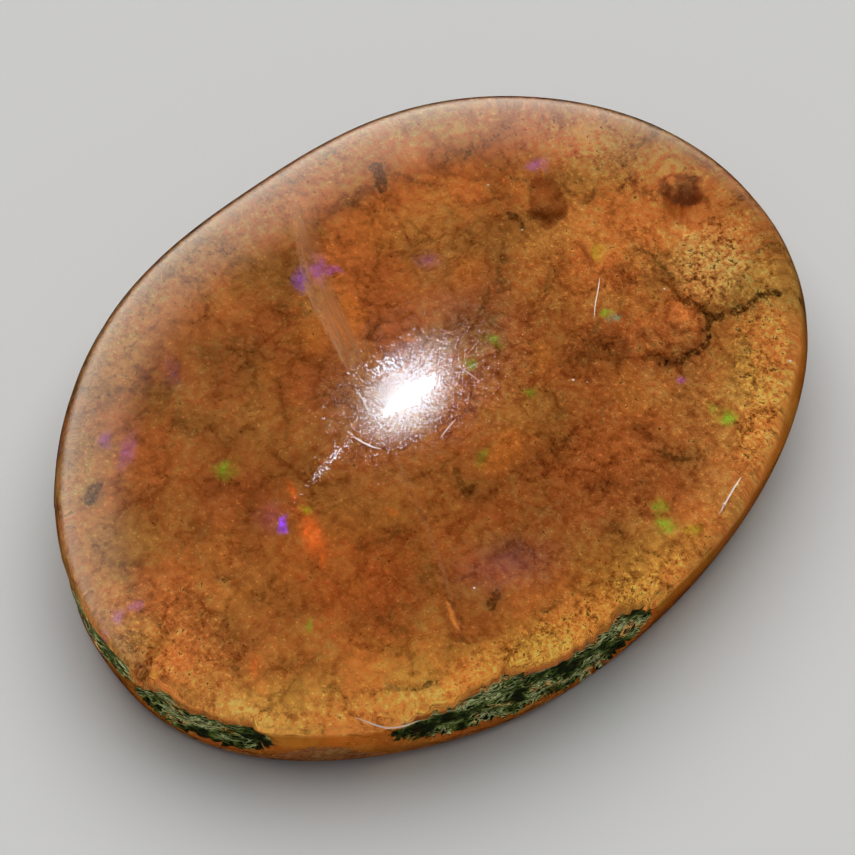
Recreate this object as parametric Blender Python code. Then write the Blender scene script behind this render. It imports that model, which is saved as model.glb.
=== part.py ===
# Ethiopian opal cabochon: one oval domed stone with a flat back, patches of rough natural crust on its flank
# and shallow broken hollows in its back.
# Metres, +Z up. The origin is at the middle of the flat back, and +X runs along the long axis.
import math

import bmesh
import bpy
from mathutils import Matrix, Vector, noise

MM = 0.001

# Driving dimensions of the stone
LENGTH = 16.0 * MM
WIDTH = 11.9 * MM
HEIGHT = 6.2 * MM
GIRDLE_HEIGHT = 2.1 * MM  # where the stone is widest
FLANK_TAPER = 0.38 * MM  # how far the flank draws in from the girdle down to the rounded edge
EDGE_ROUND = 0.25 * MM  # rounding between the flank and the back
DOME_FULLNESS = 0.9  # below 1 the dome swells above a plain half ellipse

# The hand-cut outline is a little squarer than a true oval, and strays from it: waves round the stone, with
# each one's cosine share and sine share
OUTLINE_POWER = 2.11
OUTLINE_STRAY = (
    (1, 0.006, -0.003),
    (2, -0.004, 0.009),
    (3, 0.001, -0.003),
    (4, 0.002, -0.001),
    (5, -0.002, -0.009),
    (6, 0.003, 0.002),
)

# Points and rings of the mesh
ROUND_POINTS = 128
DOME_RINGS = 18
FLANK_RINGS = 8
EDGE_RINGS = 3

# Patches of crust on the flank, the first two of which run together. Angles are in degrees from +X towards +Y:
# the middle of the patch, and how far it reaches to each side. Then the heights that it lies between, and how
# deep it is sunk.
CRUST_PATCHES = (
    {"angle": -110, "reach": 27, "low": 0.55 * MM, "high": 2.65 * MM, "depth": 0.17 * MM},
    {"angle": -92, "reach": 15, "low": 0.20 * MM, "high": 2.70 * MM, "depth": 0.15 * MM},
    {"angle": -161, "reach": 12, "low": 0.40 * MM, "high": 2.30 * MM, "depth": 0.13 * MM},
    {"angle": 165, "reach": 17, "low": 1.00 * MM, "high": 2.20 * MM, "depth": 0.10 * MM},
)
CRUST_LUMP = 0.09 * MM  # height of the lumps in a patch
CRUST_GRAIN = 0.45 * MM  # distance from lump to lump
CRUST_FRAY = 0.45  # how unevenly a patch ends

# Broken hollows in the back: place, half length, half width and depth in millimetres, and turn in degrees
BACK_HOLLOWS = (
    {"at": (5.66, 0.12), "half": (0.74, 0.60), "depth": 0.30, "turn": 12},
    {"at": (4.55, -0.42), "half": (0.60, 0.38), "depth": 0.22, "turn": 8},
    {"at": (6.02, 1.26), "half": (0.34, 0.22), "depth": 0.42, "turn": 30},
    {"at": (4.20, 2.28), "half": (0.32, 0.24), "depth": 0.26, "turn": -20},
    {"at": (-5.55, 0.20), "half": (0.36, 0.22), "depth": 0.24, "turn": 40},
    {"at": (-3.10, 3.85), "half": (1.05, 0.50), "depth": 0.16, "turn": 22},
    {"at": (2.60, -3.75), "half": (0.95, 0.60), "depth": 0.20, "turn": -14},
    {"at": (-2.40, -4.05), "half": (0.55, 0.40), "depth": 0.18, "turn": 35},
)
HOLLOW_FRAY = 0.45  # share of a hollow's size by which its outline is broken
HOLLOW_DROP = 0.04 * MM  # how far below the back the middle of each cutter lies

OPAL_COLOR = (0.42, 0.17, 0.035, 1.0)
OPAL_ROUGHNESS = 0.08


def outline_radius(angle):
    """Distance from the middle of the stone to its widest line at an angle."""
    along = abs(2 * math.cos(angle) / LENGTH) ** OUTLINE_POWER
    across = abs(2 * math.sin(angle) / WIDTH) ** OUTLINE_POWER
    oval = (along + across) ** (-1 / OUTLINE_POWER)
    stray = sum(c * math.cos(n * angle) + s * math.sin(n * angle) for n, c, s in OUTLINE_STRAY)
    return oval * (1 + stray)


def crust_depth(angle, place):
    """How deep the flank is sunk and roughened at a place by the patches of crust."""
    depth = 0.0
    for patch in CRUST_PATCHES:
        turn = math.remainder(angle - math.radians(patch["angle"]), 2 * math.pi)
        along = turn / math.radians(patch["reach"])
        middle = (patch["low"] + patch["high"]) / 2
        across = (place.z - middle) / (patch["high"] - middle)
        fray = CRUST_FRAY * noise.noise(place / (2 * CRUST_GRAIN))
        inside = min(1.0, max(0.0, 2.5 * (1 + fray - along**2 - across**2)))
        lump = CRUST_LUMP * noise.noise(place / CRUST_GRAIN)
        depth = max(depth, inside * (patch["depth"] + lump))
    return depth


def flank_inset(height):
    """How far the flank lies inside the widest line at a height."""
    drop = (GIRDLE_HEIGHT - height) / (GIRDLE_HEIGHT - EDGE_ROUND)
    return FLANK_TAPER * drop**1.5


def ring_shapes():
    """Height, inset and scale of each ring, from the back up to just below the top of the dome."""
    for i in range(EDGE_RINGS):
        turn = math.pi / 2 * i / EDGE_RINGS
        inset = FLANK_TAPER + EDGE_ROUND * (1 - math.sin(turn))
        yield EDGE_ROUND * (1 - math.cos(turn)), inset, 1.0
    for i in range(FLANK_RINGS):
        height = EDGE_ROUND + (GIRDLE_HEIGHT - EDGE_ROUND) * i / FLANK_RINGS
        yield height, flank_inset(height), 1.0
    for i in range(DOME_RINGS):
        turn = math.pi / 2 * i / DOME_RINGS
        height = GIRDLE_HEIGHT + (HEIGHT - GIRDLE_HEIGHT) * math.sin(turn)
        yield height, 0.0, math.cos(turn) ** DOME_FULLNESS


def add_ring(mesh, height, inset, scale):
    ring = []
    for i in range(ROUND_POINTS):
        angle = 2 * math.pi * i / ROUND_POINTS
        radius = (outline_radius(angle) - inset) * scale
        direction = Vector((math.cos(angle), math.sin(angle), 0))
        place = direction * radius + Vector((0, 0, height))
        ring.append(mesh.verts.new(place - direction * crust_depth(angle, place)))
    return ring


def join_rings(mesh, lower, upper):
    for i in range(ROUND_POINTS):
        j = (i + 1) % ROUND_POINTS
        mesh.faces.new((lower[i], lower[j], upper[j], upper[i]))


def centre_outline(mesh):
    """Puts the middle of the stone's length and width on the origin."""
    for axis in (0, 1):
        sides = [vert.co[axis] for vert in mesh.verts]
        middle = (min(sides) + max(sides)) / 2
        for vert in mesh.verts:
            vert.co[axis] -= middle


def make_stone():
    """The whole stone before its back is broken: rings from the flat back up, closed by the top of the dome."""
    mesh = bmesh.new()
    rings = [add_ring(mesh, *shape) for shape in ring_shapes()]
    for lower, upper in zip(rings, rings[1:]):
        join_rings(mesh, lower, upper)
    mesh.faces.new(reversed(rings[0]))
    top = mesh.verts.new((0, 0, HEIGHT))
    for i, vert in enumerate(rings[-1]):
        mesh.faces.new((vert, rings[-1][(i + 1) % ROUND_POINTS], top))
    centre_outline(mesh)
    return new_object("opal_cabochon", mesh)


def make_hollow_cutter(number, hollow):
    """A flattened broken lump on the plane of the back: what it shares with the stone is taken away."""
    mesh = bmesh.new()
    bmesh.ops.create_icosphere(mesh, subdivisions=3, radius=1.0)
    elsewhere = Vector((5 * number, 0, 0))  # so that no two hollows break alike
    for vert in mesh.verts:
        vert.co *= 1 + HOLLOW_FRAY * noise.noise(1.7 * vert.co + elsewhere)
    half_length, half_width = hollow["half"]
    mesh.transform(
        Matrix.Translation(Vector((*hollow["at"], 0)) * MM - Vector((0, 0, HOLLOW_DROP)))
        @ Matrix.Rotation(math.radians(hollow["turn"]), 4, "Z")
        @ Matrix.Diagonal((half_length * MM, half_width * MM, hollow["depth"] * MM, 1))
    )
    cutter = new_object(f"hollow_cutter_{number}", mesh)
    cutter.hide_render = True
    cutter.display_type = "WIRE"
    return cutter


def new_object(name, mesh):
    data = bpy.data.meshes.new(name)
    mesh.to_mesh(data)
    mesh.free()
    made = bpy.data.objects.new(name, data)
    bpy.context.scene.collection.objects.link(made)
    return made


def cut_hollows(stone):
    for number, hollow in enumerate(BACK_HOLLOWS, start=1):
        cut = stone.modifiers.new(f"hollow_{number}", "BOOLEAN")
        cut.operation = "DIFFERENCE"
        cut.solver = "EXACT"
        cut.object = make_hollow_cutter(number, hollow)


def opal_material():
    material = bpy.data.materials.new("amber_opal")
    material.use_nodes = True
    surface = material.node_tree.nodes["Principled BSDF"]
    surface.inputs["Base Color"].default_value = OPAL_COLOR
    surface.inputs["Roughness"].default_value = OPAL_ROUGHNESS
    surface.inputs["Metallic"].default_value = 0.0
    return material


def main():
    for old in list(bpy.data.objects):
        bpy.data.objects.remove(old, do_unlink=True)
    stone = make_stone()
    stone.data.materials.append(opal_material())
    stone.data.shade_smooth()
    stone.data.set_sharp_from_angle(angle=math.radians(35))
    cut_hollows(stone)


main()
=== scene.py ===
# Ethiopian opal cabochon: a clear amber dome over the rough skin of its back, with green crust on its flank.
# In metres where nothing else is said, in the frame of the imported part: +X along the stone, +Z up, and the
# origin under its middle.
import math
import random

import bpy
import numpy as np
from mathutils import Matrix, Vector, noise


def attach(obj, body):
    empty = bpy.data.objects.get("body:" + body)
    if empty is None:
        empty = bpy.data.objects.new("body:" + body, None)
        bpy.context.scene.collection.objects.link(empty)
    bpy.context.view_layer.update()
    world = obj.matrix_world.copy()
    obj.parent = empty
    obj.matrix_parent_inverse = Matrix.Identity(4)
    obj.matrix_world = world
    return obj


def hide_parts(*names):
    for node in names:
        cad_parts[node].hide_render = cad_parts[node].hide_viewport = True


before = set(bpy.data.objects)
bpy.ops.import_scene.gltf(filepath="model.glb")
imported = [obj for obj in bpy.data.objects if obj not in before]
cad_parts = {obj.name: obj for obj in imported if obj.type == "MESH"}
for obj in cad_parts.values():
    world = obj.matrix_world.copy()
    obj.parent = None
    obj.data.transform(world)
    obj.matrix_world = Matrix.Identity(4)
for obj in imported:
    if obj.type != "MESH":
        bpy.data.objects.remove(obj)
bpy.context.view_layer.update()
mm = 0.001
print("frame loaded")

# The stone's form, with the same measures as the solid that it stands for
stoneForm = {
    "length": 16.0 * mm,
    "width": 11.9 * mm,
    "height": 6.2 * mm,
    "girdle": 2.1 * mm,  # height of the widest line
    "taper": 0.38 * mm,  # how far the flank draws in below it
    "edgeRound": 0.25 * mm,
    "fullness": 0.9,  # below 1 the dome swells above a plain half ellipse
    "power": 2.11,  # above 2 the outline is squarer than an oval
    # waves round the outline: number of waves, cosine share, sine share
    "stray": ((1, 0.006, -0.003), (2, -0.004, 0.009), (3, 0.001, -0.003), (4, 0.002, -0.001),
              (5, -0.002, -0.009), (6, 0.003, 0.002)),
}

# The photo's camera. Pixels count from the photo's upper left corner.
view = {
    "elevation": math.radians(62.0),
    "azimuth": math.radians(-35.9),
    "lens": 500.0,
    "sensor": 36.0,
    "framePixels": 855,
    "pixelsPerMm": 51.11,
    "originPixel": (427.7, 472.2),
    "middlePixel": (432, 425),  # middle of the stone in the photo
    "scaleDepth": 1.85 * mm,  # the scale holds this far in front of the origin, at the widest line
}


def outlineRadius(angle):
    form = stoneForm
    along = np.abs(2 * np.cos(angle) / form["length"]) ** form["power"]
    across = np.abs(2 * np.sin(angle) / form["width"]) ** form["power"]
    oval = (along + across) ** (-1 / form["power"])
    return oval * (1 + sum(c * np.cos(n * angle) + s * np.sin(n * angle) for n, c, s in form["stray"]))


def outlineMiddle():
    # the middle of the outline's length and width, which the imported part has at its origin
    angles = np.arange(128) / 128 * 2 * math.pi
    radii = outlineRadius(angles)
    xs, ys = radii * np.cos(angles), radii * np.sin(angles)
    return (xs.min() + xs.max()) / 2, (ys.min() + ys.max()) / 2


middleX, middleY = outlineMiddle()


def flankInset(height):
    # how far the flank and the rounded edge lie inside the widest line at a height
    form = stoneForm
    drop = np.clip((form["girdle"] - height) / (form["girdle"] - form["edgeRound"]), 0, 1)
    down = np.clip(1 - height / form["edgeRound"], 0, 1)
    return form["taper"] * drop**1.5 + form["edgeRound"] * (1 - np.sqrt(1 - down**2))


def domeScale(height):
    form = stoneForm
    rise = np.clip((height - form["girdle"]) / (form["height"] - form["girdle"]), 0, 1)
    return (1 - rise**2) ** (form["fullness"] / 2)


def levelAt(places):
    # below 0 inside the stone, above 0 outside
    form = stoneForm
    x, y, z = places[:, 0] + middleX, places[:, 1] + middleY, places[:, 2]
    radius, outline = np.hypot(x, y), outlineRadius(np.arctan2(y, x))
    flank = radius / (outline - flankInset(np.maximum(z, 0))) - 1
    rise = (z - form["girdle"]) / (form["height"] - form["girdle"])
    dome = (radius / outline) ** (2 / form["fullness"]) + rise**2 - 1
    return np.where(z < form["girdle"], flank, dome)


def normalsAt(places):
    step = 0.001 * mm
    slopes = [levelAt(places + side) - levelAt(places - side) for side in np.eye(3) * step]
    normals = np.stack(slopes, axis=1)
    return normals / np.linalg.norm(normals, axis=1)[:, None]


# Where the camera stands, and what the pixels of the photo look at
sinE, cosE = math.sin(view["elevation"]), math.cos(view["elevation"])
sinA, cosA = math.sin(view["azimuth"]), math.cos(view["azimuth"])
viewBack = np.array((sinA * cosE, -cosA * cosE, sinE))
viewRight = np.array((cosA, sinA, 0))
viewUp = np.array((-sinA * sinE, cosA * sinE, cosE))
pixelSize = mm / view["pixelsPerMm"]
eyeDistance = view["lens"] / view["sensor"] * view["framePixels"] * pixelSize


def pixelPlaces(px, py):
    # the points of the plane on which the scale holds
    across = (np.asarray(px) - view["originPixel"][0]) * pixelSize
    down = (np.asarray(py) - view["originPixel"][1]) * pixelSize
    return np.outer(across, viewRight) - np.outer(down, viewUp) + viewBack * view["scaleDepth"]


eye = pixelPlaces([view["framePixels"] / 2], [view["framePixels"] / 2])[0] + viewBack * eyeDistance


def surfaceAt(px, py):
    # the first points of the stone that pixels look at, with their normals, the ways to them and how deep
    # these dive
    ways = pixelPlaces(px, py) - eye
    ways /= np.linalg.norm(ways, axis=1)[:, None]
    outside = np.full(len(ways), eyeDistance - 10 * mm)
    low, high = outside.copy(), outside + 20 * mm
    # where each ray dives deepest, by thirds, and then the surface in front of that, by halves
    for _ in range(20):
        third = (high - low) / 3
        nearer = levelAt(eye + ways * (low + third)[:, None]) < levelAt(eye + ways * (high - third)[:, None])
        low, high = np.where(nearer, low, low + third), np.where(nearer, high - third, high)
    inside = (low + high) / 2
    dive = levelAt(eye + ways * inside[:, None])
    for _ in range(22):
        middle = (outside + inside) / 2
        within = levelAt(eye + ways * middle[:, None]) < 0
        outside, inside = np.where(within, outside, middle), np.where(within, middle, inside)
    places = eye + ways * inside[:, None]
    return places, normalsAt(places), ways, dive


# The clear body
opalSettings = {
    "ior": 1.45,
    "absorbColor": (0.80, 0.50, 0.12, 1),
    "absorbDensity": 130.0,  # to a metre
    "coatWeight": 0.25,
    "coatRoughness": 0.07,
    "scratchSize": 0.045 * mm,
    "scratchDepth": 0.007 * mm,
    # the dark amber band's colour is painted shade
    "edgeColor": (0.42, 0.22, 0.07),  # of the dark amber band
    "edgeRoughness": 0.16,
}


def skinAt(px, py):
    # where the pixels' rays, bent at the stone's surface, meet the skin of the back, in mm, and their slopes
    places, normals, ways, _ = surfaceAt(px, py)
    facing = -np.sum(normals * ways, axis=1)
    ratio = 1 / opalSettings["ior"]
    turn = ratio * facing - np.sqrt(1 - ratio**2 * (1 - facing**2))
    bent = ratio * ways + turn[:, None] * normals
    slopes = -bent[:, :2] / bent[:, 2:]
    met = places[:, :2] / mm + slopes * (places[:, 2:] / mm - skinSettings["level"])
    return met[:, 0], met[:, 1], slopes


# Camera
camera = bpy.data.objects.new("camera", bpy.data.cameras.new("camera"))
bpy.context.scene.collection.objects.link(camera)
camera.data.sensor_width = view["sensor"]
camera.data.lens = view["lens"]
camera.data.clip_start = 1 * mm
camera.data.clip_end = 10.0
camera.location = eye
camera.rotation_euler = Vector(viewBack).to_track_quat("Z", "Y").to_euler()
bpy.context.scene.camera = camera
print("camera placed")


# Veins, cracks and smoke of the skin, drawn on the photo: half width and softness of the edge in pixels, and
# how dark each is, from 0 to 1
skinVeins = {
    "long smoke right of the middle": {"edge": 5, "half": 6, "dark": 0.75, "line": (
        (503, 228), (503, 245), (502, 262), (499, 276), (492, 291), (484, 303), (477, 318))},
    "its branch": {"half": 4, "dark": 0.6, "line": ((496, 293), (505, 290), (512, 286))},
    "its foot": {"half": 5, "dark": 0.5, "line": ((480, 315), (492, 321), (500, 330))},
    "upper vein": {"edge": 2.5, "half": 2.6, "dark": 0.85, "line": (
        (440, 162), (455, 159), (463, 156), (472, 151), (481, 147), (491, 141), (501, 132), (506, 126))},
    "edge above the brown hollow": {"edge": 5, "half": 3, "dark": 0.85, "line": (
        (487, 163), (496, 169), (506, 174), (516, 179), (530, 181), (540, 176), (552, 173), (563, 175),
        (575, 181), (590, 180))},
    "left edge of the brown hollow": {"edge": 5, "half": 3, "dark": 0.6, "line": (
        (533, 182), (531, 194), (533, 205), (528, 216))},
    "curl left of the brown hollow": {"edge": 5, "half": 3, "dark": 0.7, "line": (
        (504, 194), (513, 199), (520, 206), (523, 213))},
    "black curl": {"half": 4, "dark": 0.9, "line": ((508, 213), (515, 219), (522, 227))},
    "crack right of the brown hollow": {"edge": 5, "half": 2.5, "dark": 0.8, "line": (
        (588, 173), (600, 166), (608, 162), (612, 155), (622, 150), (631, 147))},
    "far crack": {"half": 2, "dark": 0.6, "line": ((637, 151), (644, 144), (648, 137))},
    "short curl": {"half": 2.5, "dark": 0.8, "line": ((582, 199), (591, 198), (595, 194))},
    "blue grey knot": {"half": 6.5, "dark": 0.9, "line": ((376, 166), (379, 177), (383, 186))},
    "chain left of the knot": {"half": 5, "dark": 0.5, "line": (
        (372, 190), (357, 194), (350, 204), (331, 212))},
    "crack right of the knot": {"half": 2.5, "dark": 0.6, "line": (
        (388, 176), (400, 174), (407, 177), (414, 182), (440, 184))},
    "left stem": {"half": 3, "dark": 0.4, "line": ((316, 205), (320, 225), (323, 238))},
    "fine crack": {"half": 2, "dark": 0.5, "line": ((450, 212), (465, 232), (478, 243), (486, 250))},
    "hook under the top": {"half": 3, "dark": 0.5, "line": ((383, 246), (378, 257), (376, 270))},
    "hook's arm": {"half": 2.5, "dark": 0.4, "line": ((360, 265), (370, 262), (377, 265))},
    "smoke upper right": {"edge": 5, "half": 8, "dark": 0.5, "line": (
        (566, 260), (554, 274), (546, 287))},
    "left spot": {"edge": 5, "half": 5, "dark": 0.6, "line": ((534, 312), (537, 312))},
    "right spot": {"edge": 5, "half": 5, "dark": 0.7, "line": ((546, 312), (549, 312))},
    "wedge beside the orange": {"half": 4, "dark": 0.5, "line": ((376, 322), (372, 338))},
    "left streak": {"edge": 5, "half": 5, "dark": 0.5, "line": ((258, 288), (275, 284), (300, 283))},
    "left cloud": {"edge": 5, "half": 8, "dark": 0.6, "line": ((276, 309), (290, 315), (303, 311))},
    "left cloud's foot": {"edge": 5, "half": 5, "dark": 0.5, "line": ((290, 316), (283, 326))},
    "left drop": {"edge": 5, "half": 6, "dark": 0.6, "line": ((268, 338), (257, 341), (252, 355))},
    "left dot": {"edge": 5, "half": 5, "dark": 0.4, "line": ((230, 342), (238, 338))},
    "grey violet smoke": {"edge": 5, "half": 9, "dark": 0.45, "line": (
        (205, 352), (214, 354), (218, 370))},
    "far left smoke": {"edge": 5, "half": 10, "dark": 0.45, "line": (
        (178, 366), (170, 380), (166, 396))},
    "middle left vein": {"edge": 4, "half": 3, "dark": 0.5, "line": (
        (288, 352), (301, 360), (313, 364), (325, 368), (336, 371))},
    "thin vein": {"half": 3, "dark": 0.5, "line": ((276, 378), (290, 375), (300, 378))},
    "hanging vein": {"half": 3, "dark": 0.4, "line": ((282, 384), (282, 408), (287, 424), (286, 440))},
    "small dash": {"half": 3, "dark": 0.5, "line": ((308, 398), (318, 394), (331, 395))},
    "left blotch": {"edge": 5, "half": 8, "dark": 0.55, "line": ((178, 416), (186, 430), (198, 436))},
    "left blotch's arm": {"edge": 5, "half": 5, "dark": 0.4, "line": ((152, 411), (164, 416))},
    "thin left crack": {"half": 2.5, "dark": 0.5, "line": (
        (140, 441), (150, 445), (165, 446), (176, 445))},
    "smoke under the green": {"edge": 5, "half": 7, "dark": 0.5, "line": (
        (204, 497), (215, 492), (221, 484))},
    "standing smoke": {"edge": 5, "half": 7, "dark": 0.45, "line": ((256, 488), (252, 504), (250, 520))},
    "diagonal haze": {"edge": 5, "half": 8, "dark": 0.4, "line": (
        (180, 546), (194, 539), (205, 526), (213, 512))},
    "standing brown": {"edge": 5, "half": 6, "dark": 0.35, "line": ((141, 500), (138, 530))},
    "long left vein": {"edge": 4, "half": 3, "dark": 0.45, "line": (
        (152, 565), (165, 571), (178, 583), (187, 599), (198, 612), (212, 622), (222, 638))},
    "small left crack": {"half": 2.5, "dark": 0.6, "line": ((116, 575), (125, 578), (134, 588))},
    "left dash": {"half": 4, "dark": 0.4, "line": ((120, 562), (131, 563), (142, 563))},
    "lower crack": {"half": 2.5, "dark": 0.5, "line": ((212, 560), (217, 571), (222, 578), (236, 577))},
    "lower net": {"half": 2.5, "dark": 0.5, "line": (
        (245, 603), (258, 600), (270, 598), (280, 594), (291, 588))},
    "lower drop": {"edge": 5, "half": 7, "dark": 0.45, "line": ((221, 634), (224, 646))},
    "lower dot": {"edge": 5, "half": 5, "dark": 0.4, "line": ((294, 606), (298, 614))},
    "lower haze": {"edge": 5, "half": 6, "dark": 0.4, "line": ((300, 665), (311, 660), (326, 650))},
    "middle vein": {"half": 3, "dark": 0.55, "line": ((408, 476), (420, 477), (432, 474), (446, 469))},
    "middle hook": {"half": 5, "dark": 0.6, "line": ((457, 468), (460, 482), (465, 494), (472, 488))},
    "long right vein": {"edge": 3, "half": 3.5, "dark": 0.5, "line": (
        (478, 503), (490, 496), (500, 486), (508, 474), (522, 466), (534, 461), (540, 452), (552, 449),
        (563, 444))},
    "right bow": {"edge": 3, "half": 3, "dark": 0.45, "line": (
        (510, 502), (520, 508), (531, 513), (541, 511), (548, 501), (556, 498), (565, 507))},
    "lower middle vein": {"half": 4, "dark": 0.55, "line": (
        (362, 548), (373, 543), (382, 539), (398, 534))},
    "lower middle blotch": {"edge": 5, "half": 7, "dark": 0.55, "line": (
        (378, 617), (388, 624), (396, 632), (407, 630))},
    "lower middle arm": {"half": 4, "dark": 0.4, "line": ((390, 609), (409, 605), (418, 600))},
    "smoke at the fracture": {"edge": 5, "half": 7, "dark": 0.5, "line": (
        (420, 566), (430, 570), (421, 581))},
    "wedge beside the fracture": {"edge": 5, "half": 4, "dark": 0.45, "line": (
        (446, 566), (454, 580), (460, 600), (463, 622))},
    "triangle": {"half": 7, "dark": 0.85, "line": ((496, 596), (492, 604))},
    "lower right crack": {"half": 3, "dark": 0.6, "line": ((542, 610), (550, 605), (559, 600))},
    "dark dot": {"edge": 5, "half": 5, "dark": 0.6, "line": ((516, 554), (521, 553))},
    "short vein low": {"half": 4, "dark": 0.5, "line": ((448, 650), (455, 645), (461, 640))},
    "dash near the bottom": {"half": 3.2, "dark": 0.95, "line": ((402, 688), (420, 687), (437, 683))},
    "dash's tail": {"half": 3.5, "dark": 0.55, "line": ((384, 688), (400, 688))},
    "right clouds": {"edge": 5, "half": 6, "dark": 0.5, "line": ((565, 396), (570, 402), (556, 418))},
    "right smoke": {"edge": 5, "half": 9, "dark": 0.35, "line": ((612, 398), (600, 414))},
    "right dark": {"half": 5, "dark": 0.6, "line": ((634, 426), (642, 432), (650, 440))},
    "right comb": {"half": 4, "dark": 0.65, "line": ((661, 451), (671, 458), (680, 456), (689, 455))},
    "right bar": {"edge": 3, "half": 3.5, "dark": 0.6, "line": (
        (600, 487), (615, 482), (630, 484), (644, 483))},
    "low right curl": {"half": 3.5, "dark": 0.55, "line": ((608, 525), (618, 528), (626, 536))},
    "low right dash": {"half": 4, "dark": 0.5, "line": ((640, 511), (651, 516))},
    "great smoke": {"edge": 5, "half": 15, "dark": 0.55, "line": (
        (582, 357), (598, 338), (612, 344), (622, 352))},
    "star crack": {"half": 2.5, "dark": 0.55, "line": ((618, 265), (623, 275), (630, 282), (639, 283))},
    "star crack's foot": {"half": 2.5, "dark": 0.45, "line": ((627, 283), (620, 295), (619, 306))},
    # painted shadows: the dark lines of the ledges, wider at their feet, stand for the shade under the raised
    # plates
    "upper ledge": {"half": 3.0, "dark": 0.8, "line": (
        (633, 246), (644, 251), (654, 256), (663, 263), (673, 274), (681, 284))},
    "ledge between": {"half": 3.2, "dark": 0.8, "line": (
        (683, 302), (695, 305), (704, 309), (713, 316))},
    "great ledge": {"half": 4.6, "dark": 1.0, "line": (
        (710, 315), (720, 316), (730, 313), (740, 310), (752, 303), (760, 297), (769, 291), (777, 293))},
    "great ledge's painted shadow": {"edge": 4, "half": 3, "dark": 0.7, "line": (
        (738, 313), (752, 308), (763, 301), (772, 295))},
    "hooked ledge": {"half": 4.2, "dark": 1.0, "line": (
        (706, 312), (709, 321), (708, 332), (706, 343), (700, 350), (690, 356), (677, 361), (661, 364))},
    "hooked ledge's painted shadow": {"edge": 4, "half": 4, "dark": 0.8, "line": (
        (706, 346), (697, 355), (686, 360))},
    "smudge": {"edge": 3, "half": 5, "dark": 0.75, "line": ((668, 302), (676, 298), (686, 296))},
    "smudge's tail": {"half": 3, "dark": 0.6, "line": ((688, 299), (703, 304))},
    "rim crack": {"half": 2.2, "dark": 0.8, "line": (
        (751, 258), (757, 252), (764, 247), (772, 241), (776, 234))},
    "small right dash": {"half": 3, "dark": 0.5, "line": ((671, 327), (685, 332))},
    "right grey": {"half": 6, "dark": 0.35, "line": ((742, 336), (745, 353))},
    "black spot": {"edge": 5, "half": 3, "dark": 1.0, "line": ((661, 275), (663, 278))},
    "left inclusion": {"half": 5.2, "dark": 1.0, "line": ((98, 484), (94, 490), (93, 497), (87, 502))},
    "brown patch": {"edge": 5, "half": 9, "dark": 0.5, "line": ((128, 647), (136, 658))},
    "brown patch's head": {"edge": 5, "half": 6, "dark": 0.4, "line": ((132, 630), (140, 638))},
    "round dot": {"edge": 5, "half": 4, "dark": 0.95, "line": ((158, 685), (159, 688))},
    "bottom dots": {"edge": 5, "half": 3.5, "dark": 0.8, "line": ((206, 703), (215, 698))},
    "bottom dots beside": {"edge": 5, "half": 3.5, "dark": 0.55, "line": ((225, 701), (232, 700))},
    "bottom dash": {"half": 3.5, "dark": 0.7, "line": ((234, 667), (241, 669))},
}

# Brighter, smoother patches of the skin: middle, half sizes in pixels, turn in degrees, strength
skinPatches = {
    "orange left of the fracture": {"at": (318, 335), "half": (24, 22), "turn": 30, "glow": 0.8},
    "orange right of the fracture": {"at": (352, 318), "half": (14, 26), "turn": 15, "glow": 1.0},
    "small orange": {"at": (391, 512), "half": (7, 5), "glow": 1.0},
    "orange tongue": {"at": (506, 452), "half": (18, 32), "turn": -35, "glow": 0.9},
    "orange right": {"at": (545, 355), "half": (12, 18), "glow": 0.6},
    "orange far right": {"at": (628, 392), "half": (18, 30), "turn": 10, "glow": 0.5},
    "orange top left": {"at": (372, 235), "half": (22, 30), "turn": 20, "glow": 0.6},
    "orange upper middle": {"at": (470, 270), "half": (20, 22), "glow": 0.6},
    "pale lower left": {"at": (222, 545), "half": (18, 22), "glow": 0.4},
    "pale left": {"at": (270, 370), "half": (16, 14), "glow": 0.5},
    "pale low left": {"at": (235, 598), "half": (20, 14), "turn": 10, "glow": 0.4},
}

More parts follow.
